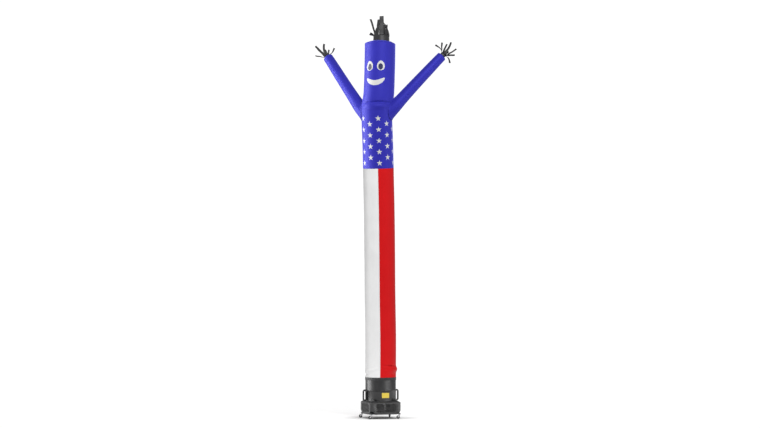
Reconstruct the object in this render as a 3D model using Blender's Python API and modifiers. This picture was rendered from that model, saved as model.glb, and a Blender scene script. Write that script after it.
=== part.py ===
"""An inflatable air dancer standing on its blower.

A striped cloth tube and a blue star tube are sewn end to end, with two sleeves for arms, a crown with an air
vent, and black streamers at the vent and at both sleeve ends. Its hem is strapped round the outlet of a blower
that stands on four swivel castors. All sizes are in metres, +Z is up and the figure faces -Y.

Azimuth is the angle round a vertical axis, from the front (-Y) towards +X. Run in Blender 4.5.
"""

import math

import bmesh
import bpy
from mathutils import Matrix, Vector

# Fits between pieces
GAP = 0.0003
CLOTH = 0.0015

# Where the blower's upright axis stands from the middle of the whole object's footprint
BLOWER_X = 0.03332
BLOWER_Y = -0.03686

# Every round upright piece has the same sides, turned to the same seam, so that their flats stay parallel
SIDES = 36
SEAM_AZIMUTH = 15.0

# The blower
BLOWER_AZIMUTH = 35.6
COLLAR_R = 0.2265
DRUM_R = 0.2140
BARREL_WALL = 0.0040
COLLAR_TOP = 0.6060
COLLAR_FOOT = 0.4170
DRUM_FOOT = 0.2360
HOUSING_SIDE = 0.4740
HOUSING_TOP = 0.2420
HOUSING_CHAMFER = 0.0160
HOUSING_WALL = 0.0040
ROOF_RUN = 0.0320
ROOF_RISE = 0.0240
PLATE_BOTTOM = 0.0660
PLATE_TOP = 0.0840
CORNER_CUT_RISE = 0.0580
CORNER_CUT_RUN = 0.0660
INLET_WIDTH = 0.3200
INLET_HEIGHT = 0.1250
INLET_Z = 0.1620
INLET_CORNER_R = 0.0450
GRILLE_THICK = 0.0030
MOTOR_R = 0.0540
MOTOR_Z = 0.1640
MOTOR_LENGTH = 0.1400
KNOB_R = 0.0130
KNOB_RADIUS_OUT = 0.2320
KNOB_BOSS_TOP = 0.2680
KNOB_TOP = 0.2940
HANDLE_TUBE_R = 0.0120
HANDLE_HEIGHT = 0.1780
HANDLE_WIDTH = 0.0740
HANDLE_Z = 0.3460
LABEL_AZIMUTHS = (21.8, 25.0, 35.0, 45.0, 52.8)
LABEL_BOTTOM = 0.3100
LABEL_TOP = 0.3870
LABEL_THICK = 0.0010

# Castors, each with its heading: the way its wheel trails
CASTOR_INSET = 0.0170
CASTOR_TRAIL = 0.0190
WHEEL_SIDES = 20
WHEEL_R = 0.0260
WHEEL_WIDTH = 0.0200
AXLE_R = 0.0035
AXLE_CLEARANCE = 0.0004
FORK_SHEET = 0.0025
MOUNT_THICK = 0.0025
CASTORS = (
    # name, corner azimuth from the blower's front, trail azimuth
    ("near", -45.0, -66.0),
    ("right", 45.0, -80.0),
    ("far", 135.0, 12.0),
    ("left", -135.0, -88.0),
)
MOUNT_SIDE = 0.0380
SEAT_SIDE = 0.0640
SEAT_DEPTH = 0.0030

# The cloth figure
HEM_Z = 0.5740
STRAP_BOTTOM = 0.5710
STRAP_TOP = 0.6130
STRAP_THICK = 0.0020
WAIST_Z = 3.7210
HEAD_TOP_Z = 5.5670
TUBE_R = COLLAR_R + GAP + CLOTH
VENT_R = 0.1236
VENT_SHIFT = (0.0150, 0.0040)
CROWN_RISE = 0.0300
CROWN_RINGS = (
    # share of the way in from the rim to the vent, share of the rise
    (0.00, 0.00),
    (0.22, 0.36),
    (0.60, 0.80),
    (1.00, 1.00),
)
CROWN_BAND_HEIGHT = 0.1230
HAND_VENT_R = 0.0460
HAND_BAND_OUT = 0.0420
HAND_BAND_IN = 0.0150
HAND_BAND_FLARE = -0.0050
STREAMER_THICK = 0.0025

# The middle line of the tube above the outlet, and how each ring of the cloth leans
SWAY = (
    # height, x, y, lean to the back, lean to +X (degrees)
    (0.560, 0.0000, 0.0000, 0.0, 0.0),
    (1.160, 0.0020, 0.0000, 0.0, 0.0),
    (1.790, -0.0056, -0.0058, -1.0, 0.0),
    (2.500, -0.0073, -0.0210, -1.8, -0.1),
    (3.040, -0.0078, -0.0408, -2.4, -0.2),
    (3.750, -0.0128, -0.0754, -3.2, -0.3),
    (4.110, -0.0155, -0.0963, -3.7, -0.4),
    (4.380, -0.0208, -0.1158, -4.1, -0.4),
    (4.620, -0.0255, -0.1276, -3.0, -0.2),
    (4.740, -0.0160, -0.1143, 3.0, -0.4),
    (4.860, -0.0007, -0.0920, 9.0, -1.0),
    (5.100, -0.0026, -0.0488, 10.0, -1.4),
    (5.340, -0.0087, -0.0058, 10.0, -1.4),
    (5.600, -0.0183, 0.0390, 10.0, -1.4),
)

# Folds in the tube: a ridge stands out by its depth, and a trough has a negative one
FOLDS = (
    # azimuth, height, slope (m per radian), half height, half width (degrees), depth
    (-34.0, 0.716, 0.034, 0.022, 62.0, 0.0090),
    (-62.0, 0.655, 0.012, 0.015, 52.0, -0.0140),
    (60.0, 0.782, 0.000, 0.012, 46.0, -0.0110),
    (86.0, 0.732, 0.004, 0.036, 74.0, 0.0210),
    (38.0, 0.738, 0.020, 0.012, 15.0, -0.0060),
    (60.0, 0.655, -0.012, 0.014, 38.0, -0.0050),
    (172.0, 0.755, 0.018, 0.024, 40.0, 0.0090),
    (160.0, 0.690, -0.010, 0.016, 34.0, -0.0070),
    (228.0, 0.730, -0.024, 0.022, 44.0, 0.0080),
    (240.0, 0.790, -0.016, 0.015, 34.0, -0.0070),
)

# The fold across the neck, where the chest stands out under the head
NECK_AZIMUTH = 18.0
NECK_FOLD_Z = 4.742
NECK_FOLD_BOW = 0.030
NECK_RIDGE = 0.0130
NECK_TROUGH = -0.0170
NECK_RIDGE_DROP = 0.034
NECK_TROUGH_RISE = 0.022
NECK_HALF_HEIGHT = 0.024
NECK_HALF_WIDTH = 78.0

# Heights at which the cloth has a ring of points, close together where it folds
STRIPE_RINGS = (
    HEM_Z, 0.612, 0.634, 0.655, 0.676, 0.697, 0.718, 0.739, 0.760, 0.781,
    0.805, 0.835, 0.900, 1.300, 1.900, 2.500, 3.100, WAIST_Z - GAP,
)
BLUE_RINGS = (
    WAIST_Z, 4.080, 4.360, 4.560, 4.660, 4.688, 4.708, 4.726, 4.744, 4.764,
    4.786, 4.830, 4.920, 5.150, 5.370, HEAD_TOP_Z,
)

# The sleeves, mirrored to both sides of the chest
SLEEVE_SIDES = 20
SLEEVE_CHEST_Z = 4.620
SLEEVE_RINGS = (
    # out from the chest's middle line, azimuth from the front, height, radius
    (0.080, 90.0, 4.424, 0.1040),
    (0.230, 94.0, 4.584, 0.0990),
    (0.400, 103.0, 4.777, 0.0890),
    (0.590, 108.5, 4.984, 0.0825),
    (0.780, 112.0, 5.184, 0.0785),
    (0.900, 113.5, 5.309, 0.0750),
    (0.955, 114.0, 5.365, 0.0715),
    (0.977, 114.2, 5.387, 0.0680),
    (0.979, 114.2, 5.389, HAND_VENT_R),
)

# The left sleeve reaches out a little less
SLEEVE_REACH = {1: 1.0, -1: 0.983}

# Streamers round a vent. Splay is the lean out from the vent's axis at the root, curl the bend outwards and
# sway the bend to the side from root to tip, and twist the turn about its own length, all in degrees.
CROWN_STREAMERS = (
    # azimuth, width, length, splay, curl, sway, twist
    (17.0, 0.060, 0.292, -7.0, -2.0, 2.0, 4.0),
    (49.0, 0.044, 0.190, -6.0, -10.0, 8.0, 20.0),
    (76.0, 0.044, 0.220, -4.0, -30.0, 8.0, -18.0),
    (101.0, 0.044, 0.200, 4.0, -45.0, 4.0, 16.0),
    (127.0, 0.044, 0.215, -4.0, -20.0, -6.0, 16.0),
    (152.0, 0.044, 0.190, -8.0, -10.0, 6.0, -14.0),
    (178.0, 0.046, 0.240, -4.0, -6.0, 4.0, 12.0),
    (202.0, 0.044, 0.225, -6.0, -4.0, -5.0, -10.0),
    (225.0, 0.040, 0.205, -6.0, -4.0, 6.0, 14.0),
    (247.0, 0.024, 0.280, 14.0, 6.0, 0.0, 10.0),
    (271.0, 0.044, 0.210, -10.0, 0.0, -4.0, 30.0),
    (298.0, 0.040, 0.140, 62.0, 78.0, 6.0, 10.0),
    (323.0, 0.044, 0.175, -8.0, -8.0, -6.0, 18.0),
    (348.0, 0.044, 0.238, -8.0, 0.0, -4.0, 8.0),
)
HAND_STREAMERS = {
    "right": (
        # azimuth, width, length, splay, curl, sway, twist
        (20.0, 0.024, 0.180, 62.0, -38.0, 0.0, 25.0),
        (60.0, 0.024, 0.095, 8.0, 10.0, 0.0, 30.0),
        (105.0, 0.024, 0.165, 22.0, 10.0, 6.0, 40.0),
        (150.0, 0.024, 0.150, 50.0, 14.0, -6.0, 30.0),
        (190.0, 0.024, 0.190, 62.0, 48.0, 6.0, -20.0),
        (230.0, 0.024, 0.150, 42.0, 6.0, -6.0, 20.0),
        (264.0, 0.024, 0.160, 84.0, 70.0, 20.0, 25.0),
        (300.0, 0.024, 0.180, 84.0, 50.0, -16.0, -30.0),
        (338.0, 0.024, 0.165, 48.0, 52.0, 10.0, 30.0),
    ),
    "left": (
        (12.0, 0.024, 0.175, 64.0, 6.0, 0.0, 25.0),
        (50.0, 0.024, 0.195, 26.0, -4.0, 8.0, -30.0),
        (88.0, 0.024, 0.190, 24.0, 4.0, -8.0, 40.0),
        (126.0, 0.024, 0.175, 14.0, 16.0, 0.0, 20.0),
        (165.0, 0.024, 0.160, 22.0, 2.0, 4.0, 25.0),
        (203.0, 0.024, 0.155, 34.0, -6.0, -4.0, -30.0),
        (243.0, 0.024, 0.165, 86.0, -46.0, 0.0, 30.0),
        (285.0, 0.024, 0.125, 40.0, 20.0, 6.0, -25.0),
        (328.0, 0.024, 0.120, 54.0, 30.0, -10.0, 30.0),
    ),
}
STREAMER_STEPS = 5

COLOURS = {
    # name: (red, green, blue), roughness, metallic
    "blue_nylon": ((0.055, 0.045, 0.62), 0.55, 0.0),
    "white_nylon": ((0.86, 0.86, 0.86), 0.55, 0.0),
    "red_nylon": ((0.62, 0.012, 0.016), 0.55, 0.0),
    "black_nylon": ((0.020, 0.020, 0.021), 0.60, 0.0),
    "black_plastic": ((0.045, 0.045, 0.046), 0.50, 0.0),
    "grille_steel": ((0.030, 0.030, 0.031), 0.45, 0.8),
    "motor_steel": ((0.150, 0.150, 0.155), 0.45, 0.8),
    "castor_zinc": ((0.450, 0.450, 0.460), 0.35, 0.9),
    "wheel_rubber": ((0.060, 0.060, 0.062), 0.60, 0.0),
    "yellow_label": ((0.780, 0.600, 0.060), 0.45, 0.0),
}

object_parts = None
cutter_parts = None


def clear_scene():
    for obj in list(bpy.data.objects):
        bpy.data.objects.remove(obj)


def new_collection(name):
    collection = bpy.data.collections.new(name)
    bpy.context.scene.collection.children.link(collection)
    return collection


def finish(name):
    """The named finish as a material, made the first time that it is asked for."""
    if name in bpy.data.materials:
        return bpy.data.materials[name]
    colour, roughness, metallic = COLOURS[name]
    material = bpy.data.materials.new(name)
    material.use_nodes = True
    shader = material.node_tree.nodes["Principled BSDF"]
    shader.inputs["Base Color"].default_value = (*colour, 1.0)
    shader.inputs["Roughness"].default_value = roughness
    shader.inputs["Metallic"].default_value = metallic
    return material


def put(name, mesh, material, matrix=None):
    """A named object of the model from a mesh."""
    obj = bpy.data.objects.new(name, mesh)
    object_parts.objects.link(obj)
    obj.matrix_world = matrix or Matrix.Identity(4)
    obj.data.materials.append(finish(material))
    return obj


def put_cutter(name, mesh, matrix=None):
    """A helper shape that a Boolean reads and that isn't part of the model."""
    obj = bpy.data.objects.new(name, mesh)
    cutter_parts.objects.link(obj)
    obj.matrix_world = matrix or Matrix.Identity(4)
    obj.hide_render = True
    obj.display_type = "WIRE"
    return obj


def mesh_of(bm, name, smooth=False):
    """The finished mesh. A closed one gets its normals outwards, and an open sheet keeps the side it faces."""
    if all(edge.is_manifold for edge in bm.edges):
        bmesh.ops.recalc_face_normals(bm, faces=bm.faces)
    mesh = bpy.data.meshes.new(name)
    bm.to_mesh(mesh)
    bm.free()
    if smooth:
        mesh.shade_smooth()
        mesh.set_sharp_from_angle(angle=math.radians(35))
    return mesh


def boolean(obj, other, operation):
    cut = obj.modifiers.new(operation.lower() + "_" + other.name, "BOOLEAN")
    cut.object = other
    cut.operation = operation
    cut.solver = "EXACT"


def plain_faces(obj):
    """Flat triangles, so that a Boolean cuts a folded sheet cleanly."""
    obj.modifiers.new("plain_faces", "TRIANGULATE")


def solidify(obj, thickness, offset):
    shell = obj.modifiers.new("thickness", "SOLIDIFY")
    shell.thickness = thickness
    shell.offset = offset
    shell.use_even_offset = True


def box_mesh(name, size, centre=(0, 0, 0)):
    bm = bmesh.new()
    bmesh.ops.create_cube(bm, size=1.0)
    bmesh.ops.scale(bm, vec=size, verts=bm.verts)
    bmesh.ops.translate(bm, vec=centre, verts=bm.verts)
    return mesh_of(bm, name)


def cylinder_mesh(name, radius, bottom, top, sides):
    bm = bmesh.new()
    bmesh.ops.create_cone(
        bm, cap_ends=True, segments=sides, radius1=radius, radius2=radius, depth=top - bottom
    )
    bmesh.ops.translate(bm, vec=(0, 0, (top + bottom) / 2), verts=bm.verts)
    return mesh_of(bm, name, smooth=True)


def turned(name, profile, material, matrix, sides, closed=True):
    """A solid turned about its own Z axis from (radius, height) points, running down its outer side first."""
    bm = bmesh.new()
    verts = [bm.verts.new((radius, 0, height)) for radius, height in profile]
    for a, b in zip(verts, verts[1:] + (verts[:1] if closed else [])):
        bm.edges.new((a, b))
    mesh = bpy.data.meshes.new(name)
    bm.to_mesh(mesh)
    bm.free()
    obj = put(name, mesh, material, matrix)
    screw = obj.modifiers.new("turn", "SCREW")
    screw.angle = math.tau
    screw.steps = screw.render_steps = sides
    screw.use_merge_vertices = True
    screw.merge_threshold = 0.00005
    screw.use_normal_calculate = True
    screw.use_smooth_shade = True
    return obj


def compass(azimuth, distance):
    """The point at this distance in plan, at an azimuth from the front towards +X."""
    angle = math.radians(azimuth)
    return Vector((distance * math.sin(angle), -distance * math.cos(angle), 0))


def turned_to(azimuth, height=0.0):
    """The place on the blower's axis at this height, turned so that its own front looks to the azimuth."""
    return Matrix.Translation((BLOWER_X, BLOWER_Y, height)) @ Matrix.Rotation(math.radians(azimuth), 4, "Z")


def smooth_row(table, at):
    """The table's other columns at a value of its first one, on a smooth curve through its rows."""
    last = len(table) - 2
    i = max(k for k in range(last + 1) if k == 0 or table[k][0] <= at)
    before, row, after = table[max(i - 1, 0)], table[i], table[i + 1]
    beyond = table[min(i + 2, last + 1)]
    span = after[0] - row[0]
    t = (at - row[0]) / span
    values = []
    for column in range(1, len(row)):
        slope_in = (after[column] - before[column]) / max(after[0] - before[0], span)
        slope_out = (beyond[column] - row[column]) / max(beyond[0] - row[0], span)
        values.append(
            (2 * t**3 - 3 * t**2 + 1) * row[column]
            + (t**3 - 2 * t**2 + t) * span * slope_in
            + (3 * t**2 - 2 * t**3) * after[column]
            + (t**3 - t**2) * span * slope_out
        )
    return values


def ring_frame(height):
    """The place and lean of the cloth's ring at this height."""
    x, y, back, side = smooth_row(SWAY, height)
    lean = Matrix.Rotation(math.radians(-back), 4, "X") @ Matrix.Rotation(math.radians(side), 4, "Y")
    return Matrix.Translation((BLOWER_X + x, BLOWER_Y + y, height)) @ lean


def swell(offset, half):
    """1 in the middle of a fold, falling smoothly to 0 at its half size."""
    return math.cos(math.pi / 2 * min(abs(offset) / half, 1)) ** 2


def fold_depth(azimuth, height):
    """How far the folds move the cloth out at this place."""
    depth = 0.0
    for fold_azimuth, fold_z, slope, half_height, half_width, size in FOLDS:
        away = (azimuth - fold_azimuth + 180) % 360 - 180
        rise = fold_z + slope * math.radians(away)
        depth += size * swell(away, half_width) * swell(height - rise, half_height * 1.8)
    away = (azimuth - NECK_AZIMUTH + 180) % 360 - 180
    line = NECK_FOLD_Z - NECK_FOLD_BOW * math.radians(away) ** 2
    across = swell(away, NECK_HALF_WIDTH)
    ridge = swell(height - line + NECK_RIDGE_DROP, NECK_HALF_HEIGHT * 2.2)
    trough = swell(height - line - NECK_TROUGH_RISE, NECK_HALF_HEIGHT * 1.8)
    return depth + across * (NECK_RIDGE * ridge + NECK_TROUGH * trough)


def tube_point(azimuth, height, grow=0.0):
    """A point of the tube's outer face, or further out by grow."""
    radius = TUBE_R + fold_depth(azimuth, height) + grow
    return ring_frame(height) @ compass(azimuth, radius)


def rolled_sheet(columns, rings, place):
    """A flat grid of cloth with a row of points for each ring, moved to place(share of its width, ring)."""
    bm = bmesh.new()
    bmesh.ops.create_grid(bm, x_segments=columns, y_segments=len(rings) - 1, size=0.5)
    for vert in bm.verts:
        across = round((vert.co.x + 0.5) * columns) / columns
        ring = round((vert.co.y + 0.5) * (len(rings) - 1))
        vert.co = place(across, rings[ring])
    return bm


def tube_panel(name, start, end, rings, material):
    """A panel of the tube between two azimuths, with its thickness inside the tube's outer face."""
    full_turn = end - start >= 360
    margin = 0 if full_turn else math.degrees(GAP / 2 / TUBE_R)
    columns = round((end - start) * SIDES / 360)
    bm = rolled_sheet(
        columns,
        rings,
        lambda across, z: tube_point(
            start + across * (end - start) + margin * (1 - 2 * across), z
        ),
    )
    if full_turn:
        bmesh.ops.remove_doubles(bm, verts=bm.verts, dist=0.00001)
    panel = put(name, mesh_of(bm, name, smooth=True), material)
    solidify(panel, CLOTH, -1)
    return panel


def closed_core(name, columns, rings, place):
    """The solid inside a rolled tube, as a cutter."""
    bm = rolled_sheet(columns, rings, place)
    bmesh.ops.remove_doubles(bm, verts=bm.verts, dist=0.00001)
    bmesh.ops.holes_fill(bm, edges=bm.edges, sides=0)
    bmesh.ops.triangulate(bm, faces=bm.faces)
    return put_cutter(name, mesh_of(bm, name))


def sleeve_frame(row, mirror):
    """The place of one ring of a sleeve, and its radius. Its Z axis runs along the sleeve, its Y axis up."""
    chest = ring_frame(SLEEVE_CHEST_Z).translation

    def middle(entry):
        out, azimuth, height = entry[:3]
        point = compass(mirror * azimuth, out * SLEEVE_REACH[mirror])
        return Vector((chest.x + point.x, chest.y + point.y, height))

    i = SLEEVE_RINGS.index(row)
    before = SLEEVE_RINGS[max(i - 1, 0)]
    after = SLEEVE_RINGS[min(i + 1, len(SLEEVE_RINGS) - 1)]
    along = (middle(after) - middle(before)).normalized()
    frame = along.to_track_quat("Z", "Y").to_matrix().to_4x4()
    frame.translation = middle(row)
    return frame, row[3]


def sleeve_place(mirror, shrink):
    """place() for a sleeve's grid, drawn in by shrink from its outer face."""

    def place(across, row):
        frame, radius = sleeve_frame(row, mirror)
        angle = across * math.tau
        return frame @ Vector(
            ((radius - shrink) * math.cos(angle), (radius - shrink) * math.sin(angle), 0)
        )

    return place


def make_sleeve(side, mirror, chest_core):
    name = "sleeve_" + side
    bm = rolled_sheet(SLEEVE_SIDES, SLEEVE_RINGS, sleeve_place(mirror, 0))
    bmesh.ops.remove_doubles(bm, verts=bm.verts, dist=0.00001)
    sleeve = put(name, mesh_of(bm, name, smooth=True), "blue_nylon")
    solidify(sleeve, CLOTH, -1)
    plain_faces(sleeve)
    boolean(sleeve, chest_core, "DIFFERENCE")
    return sleeve


def make_tuft(name, frame, ring_r, bottom, top, flare, streamers):
    """A black band round a vent with its streamers standing on it, as one solid. frame's Z runs out of the vent."""
    bm = bmesh.new()
    edges_at = []
    for azimuth, width, *_ in streamers:
        half = math.degrees(width / 2 / ring_r)
        edges_at += [azimuth - half, azimuth + half]
    bmesh.ops.create_circle(bm, segments=len(edges_at), radius=ring_r)
    bm.verts.ensure_lookup_table()
    for vert, azimuth in zip(bm.verts, edges_at):
        vert.co = compass(azimuth, ring_r) + Vector((0, 0, bottom))
    rim = bm.edges[:]
    for share in (0.5, 1.0):
        lifted = bmesh.ops.extrude_edge_only(bm, edges=rim)["geom"]
        rim = [item for item in lifted if isinstance(item, bmesh.types.BMEdge)]
        verts = {vert for edge in rim for vert in edge.verts}
        for vert in verts:
            out = vert.co.xy.normalized() * (ring_r + flare * share)
            vert.co = (out.x, out.y, bottom + (top - bottom) * share)
    bmesh.ops.recalc_face_normals(bm, faces=bm.faces)
    bmesh.ops.solidify(bm, geom=bm.faces[:], thickness=STREAMER_THICK)
    bmesh.ops.recalc_face_normals(bm, faces=bm.faces)
    for azimuth, width, length, splay, curl, sway, twist in streamers:
        grow_streamer(bm, top, azimuth, width, length, splay, curl, sway, twist)
    tuft = put(name, mesh_of(bm, name), "black_nylon", frame)
    return tuft


def grow_streamer(bm, top, azimuth, width, length, splay, curl, sway, twist):
    """Draws one streamer out of the band's top face at this azimuth, in steps that bend and turn it."""
    wanted = compass(azimuth, 1).normalized()
    rims = [f for f in bm.faces if f.normal.z > 0.8 and abs(f.calc_center_median().z - top) < 0.002]
    root = max(rims, key=lambda f: f.calc_center_median().xy.normalized().dot(wanted.xy))
    centre = root.calc_center_median()
    up = Vector((0, 0, 1))
    out = wanted.copy()
    wide = up.cross(out).normalized()
    corners = [
        (1 if (vert.co - centre).dot(wide) > 0 else -1, 1 if (vert.co - centre).dot(out) > 0 else -1)
        for vert in root.verts
    ]
    tilt = Matrix.Rotation(math.radians(splay), 3, wide)
    up, out = tilt @ up, tilt @ out
    step = length / STREAMER_STEPS
    face = root
    for number in range(1, STREAMER_STEPS + 1):
        before = [vert.co.copy() for vert in face.verts]
        face = bmesh.ops.extrude_discrete_faces(bm, faces=[face])["faces"][0]
        order = [min(range(4), key=lambda k: (vert.co - before[k]).length) for vert in face.verts]
        bend = Matrix.Rotation(math.radians(curl / STREAMER_STEPS), 3, wide)
        lean = Matrix.Rotation(math.radians(sway / STREAMER_STEPS), 3, out)
        spin = Matrix.Rotation(math.radians(twist / STREAMER_STEPS), 3, up)
        turn = spin @ lean @ bend
        up, out, wide = turn @ up, turn @ out, turn @ wide
        centre = centre + up * step
        for vert, k in zip(face.verts, order):
            across, through = corners[k]
            vert.co = centre + wide * across * width / 2 + out * through * STREAMER_THICK / 2
        corners = [corners[k] for k in order]


def make_figure():
    """The cloth: four stripes, the blue tube with its sleeves, the crown and the three tufts of streamers."""
    stripes = (
        # name, start azimuth, finish
        ("stripe_white_front", SEAM_AZIMUTH - 90, "white_nylon"),
        ("stripe_red_right", SEAM_AZIMUTH, "red_nylon"),
        ("stripe_white_back", SEAM_AZIMUTH + 90, "white_nylon"),
        ("stripe_red_left", SEAM_AZIMUTH + 180, "red_nylon"),
    )
    for name, start, material in stripes:
        tube_panel(name, start, start + 90, STRIPE_RINGS, material)
    star_tube = tube_panel("star_tube", SEAM_AZIMUTH, SEAM_AZIMUTH + 360, BLUE_RINGS, "blue_nylon")
    chest_core = closed_core(
        "chest_core",
        SIDES,
        BLUE_RINGS[1:-2],
        lambda across, z: tube_point(SEAM_AZIMUTH + across * 360, z, GAP),
    )
    plain_faces(star_tube)
    for side, mirror in (("right", 1), ("left", -1)):
        make_sleeve(side, mirror, chest_core)
        bore = closed_core(
            "sleeve_bore_" + side, SLEEVE_SIDES, SLEEVE_RINGS[:-2], sleeve_place(mirror, CLOTH)
        )
        boolean(star_tube, bore, "DIFFERENCE")
        wrist, _ = sleeve_frame(SLEEVE_RINGS[-1], mirror)
        make_tuft(
            "streamers_" + side,
            wrist,
            HAND_VENT_R - 0.0008,
            -HAND_BAND_IN,
            HAND_BAND_OUT,
            HAND_BAND_FLARE,
            HAND_STREAMERS[side],
        )
    make_crown()


def make_crown():
    """The crown panel on top of the head, and the band with streamers that stands in its vent."""
    head_top = ring_frame(HEAD_TOP_Z)
    shift = Vector((*VENT_SHIFT, 0))

    def place(across, ring):
        inwards, risen = ring
        radius = TUBE_R + (VENT_R + GAP - TUBE_R) * inwards
        height = GAP + CLOTH + (CROWN_RISE - GAP - CLOTH) * risen
        return head_top @ (
            compass(SEAM_AZIMUTH + across * 360, radius) + shift * inwards + Vector((0, 0, height))
        )

    bm = rolled_sheet(SIDES, CROWN_RINGS, place)
    bmesh.ops.remove_doubles(bm, verts=bm.verts, dist=0.00001)
    crown = put("crown", mesh_of(bm, "crown", smooth=True), "blue_nylon")
    solidify(crown, CLOTH, -1)
    make_tuft(
        "streamers_crown",
        head_top @ Matrix.Translation(shift),
        VENT_R - 0.0005,
        CROWN_RISE - 0.016,
        CROWN_BAND_HEIGHT,
        -0.0040,
        CROWN_STREAMERS,
    )


def make_strap():
    """The webbing that holds the hem on the blower's outlet."""
    outer = TUBE_R + GAP
    bm = rolled_sheet(
        SIDES,
        (STRAP_BOTTOM, STRAP_TOP),
        lambda across, z: ring_frame(z) @ compass(SEAM_AZIMUTH + across * 360, outer + STRAP_THICK),
    )
    bmesh.ops.remove_doubles(bm, verts=bm.verts, dist=0.00001)
    strap = put("hem_strap", mesh_of(bm, "hem_strap", smooth=True), "black_nylon")
    solidify(strap, STRAP_THICK, -1)


def make_barrel():
    """The blower's round outlet: a wide collar on a narrower drum, one moulding open at both ends."""
    inner = BARREL_WALL
    profile = (
        (COLLAR_R - 0.0030, COLLAR_TOP),
        (COLLAR_R, COLLAR_TOP - 0.0030),
        (COLLAR_R, COLLAR_FOOT),
        (DRUM_R, COLLAR_FOOT - 0.0080),
        (DRUM_R, DRUM_FOOT),
        (DRUM_R - inner, DRUM_FOOT),
        (DRUM_R - inner, COLLAR_FOOT - 0.0060),
        (COLLAR_R - inner, COLLAR_FOOT + 0.0020),
        (COLLAR_R - inner, COLLAR_TOP),
    )
    turned(
        "outlet_barrel", profile, "black_plastic",
        turned_to(SEAM_AZIMUTH - 90), SIDES,
    )


def housing_block(inset, bottom):
    """The housing's outer form as a solid, or with an inset the hollow inside its walls."""
    half = HOUSING_SIDE / 2 - inset
    top_z = HOUSING_TOP - inset
    bm = bmesh.new()
    bmesh.ops.create_cube(bm, size=1.0)
    bmesh.ops.scale(bm, vec=(half * 2, half * 2, top_z - bottom), verts=bm.verts)
    bmesh.ops.translate(bm, vec=(0, 0, (top_z + bottom) / 2), verts=bm.verts)
    uprights = [e for e in bm.edges if abs(e.verts[0].co.z - e.verts[1].co.z) > 0.01]
    chamfer = HOUSING_CHAMFER - inset * (2 - math.sqrt(2))
    bmesh.ops.bevel(
        bm, geom=uprights, offset=chamfer, segments=1, profile=0.5, affect="EDGES", material=-1
    )
    for sx, sy in ((1, 1), (1, -1), (-1, 1), (-1, -1)):
        slope = CORNER_CUT_RUN / CORNER_CUT_RISE
        outwards = Vector((sx, sy, -slope)).normalized()
        corner = Vector((sx * (HOUSING_SIDE / 2 - CORNER_CUT_RUN), sy * HOUSING_SIDE / 2, PLATE_TOP + GAP))
        geometry = bm.verts[:] + bm.edges[:] + bm.faces[:]
        cut = bmesh.ops.bisect_plane(
            bm,
            geom=geometry,
            plane_co=corner - outwards * inset,
            plane_no=outwards,
            clear_outer=True,
            dist=0.00001,
        )
        edges = [item for item in cut["geom_cut"] if isinstance(item, bmesh.types.BMEdge)]
        bmesh.ops.edgenet_fill(bm, edges=edges)
    top = max(bm.faces, key=lambda f: f.calc_center_median().z)
    roof = bmesh.ops.extrude_discrete_faces(bm, faces=[top])["faces"][0]
    share = 1 - ROOF_RUN / half
    bmesh.ops.scale(bm, vec=(share, share, 1), verts=roof.verts)
    bmesh.ops.translate(bm, vec=(0, 0, ROOF_RISE), verts=roof.verts)
    return mesh_of(bm, "housing_block")


def make_housing():
    """The blower's square housing: a shell with cut corners, a low roof, four inlets and a round hole."""
    place = turned_to(BLOWER_AZIMUTH)
    housing = put("base_housing", housing_block(0, PLATE_TOP + GAP), "black_plastic", place)
    boolean(housing, put_cutter("hollow", housing_block(HOUSING_WALL, PLATE_TOP - 0.02), place), "DIFFERENCE")
    for index in range(4):
        spot = compass(45 + 90 * index, KNOB_RADIUS_OUT)
        boss = put_cutter(
            f"knob_boss_{index}",
            cylinder_mesh("knob_boss", KNOB_R, HOUSING_TOP - 0.002, KNOB_BOSS_TOP, 12),
            place @ Matrix.Translation(spot),
        )
        boolean(housing, boss, "UNION")
        knob = cylinder_mesh("corner_knob", KNOB_R, KNOB_BOSS_TOP + GAP, KNOB_TOP, 12)
        put(f"corner_knob_{index + 1}", knob, "black_plastic", place @ Matrix.Translation(spot))
    seat = put_cutter(
        "barrel_seat",
        cylinder_mesh("barrel_seat", DRUM_R + GAP, HOUSING_TOP - 0.08, HOUSING_TOP + 0.08, SIDES),
        turned_to(SEAM_AZIMUTH),
    )
    boolean(housing, seat, "DIFFERENCE")
    for index in range(4):
        boolean(housing, inlet_cutter(index), "DIFFERENCE")


def inlet_cutter(index):
    """The rounded opening of one inlet, as a cutter through the housing's wall."""
    bm = bmesh.new()
    bmesh.ops.create_cube(bm, size=1.0)
    bmesh.ops.scale(bm, vec=(INLET_WIDTH, 0.04, INLET_HEIGHT), verts=bm.verts)
    through = [e for e in bm.edges if abs(e.verts[0].co.y - e.verts[1].co.y) > 0.01]
    bmesh.ops.bevel(
        bm, geom=through, offset=INLET_CORNER_R, segments=4, profile=0.5, affect="EDGES", material=-1
    )
    place = turned_to(BLOWER_AZIMUTH + 90 * index) @ Matrix.Translation((0, -HOUSING_SIDE / 2, INLET_Z))
    return put_cutter(f"inlet_{index}", mesh_of(bm, "inlet"), place)


def make_grilles():
    """A guard of fine mesh, as a plate, behind each inlet against the housing's wall."""
    size = (INLET_WIDTH + 0.016, GRILLE_THICK, INLET_HEIGHT + 0.014)
    back = HOUSING_SIDE / 2 - HOUSING_WALL - GAP - GRILLE_THICK / 2
    for index in range(4):
        name = f"inlet_grille_{index + 1}"
        place = turned_to(BLOWER_AZIMUTH + 90 * index) @ Matrix.Translation((0, -back, INLET_Z))
        put(name, box_mesh(name, size), "grille_steel", place)


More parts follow.
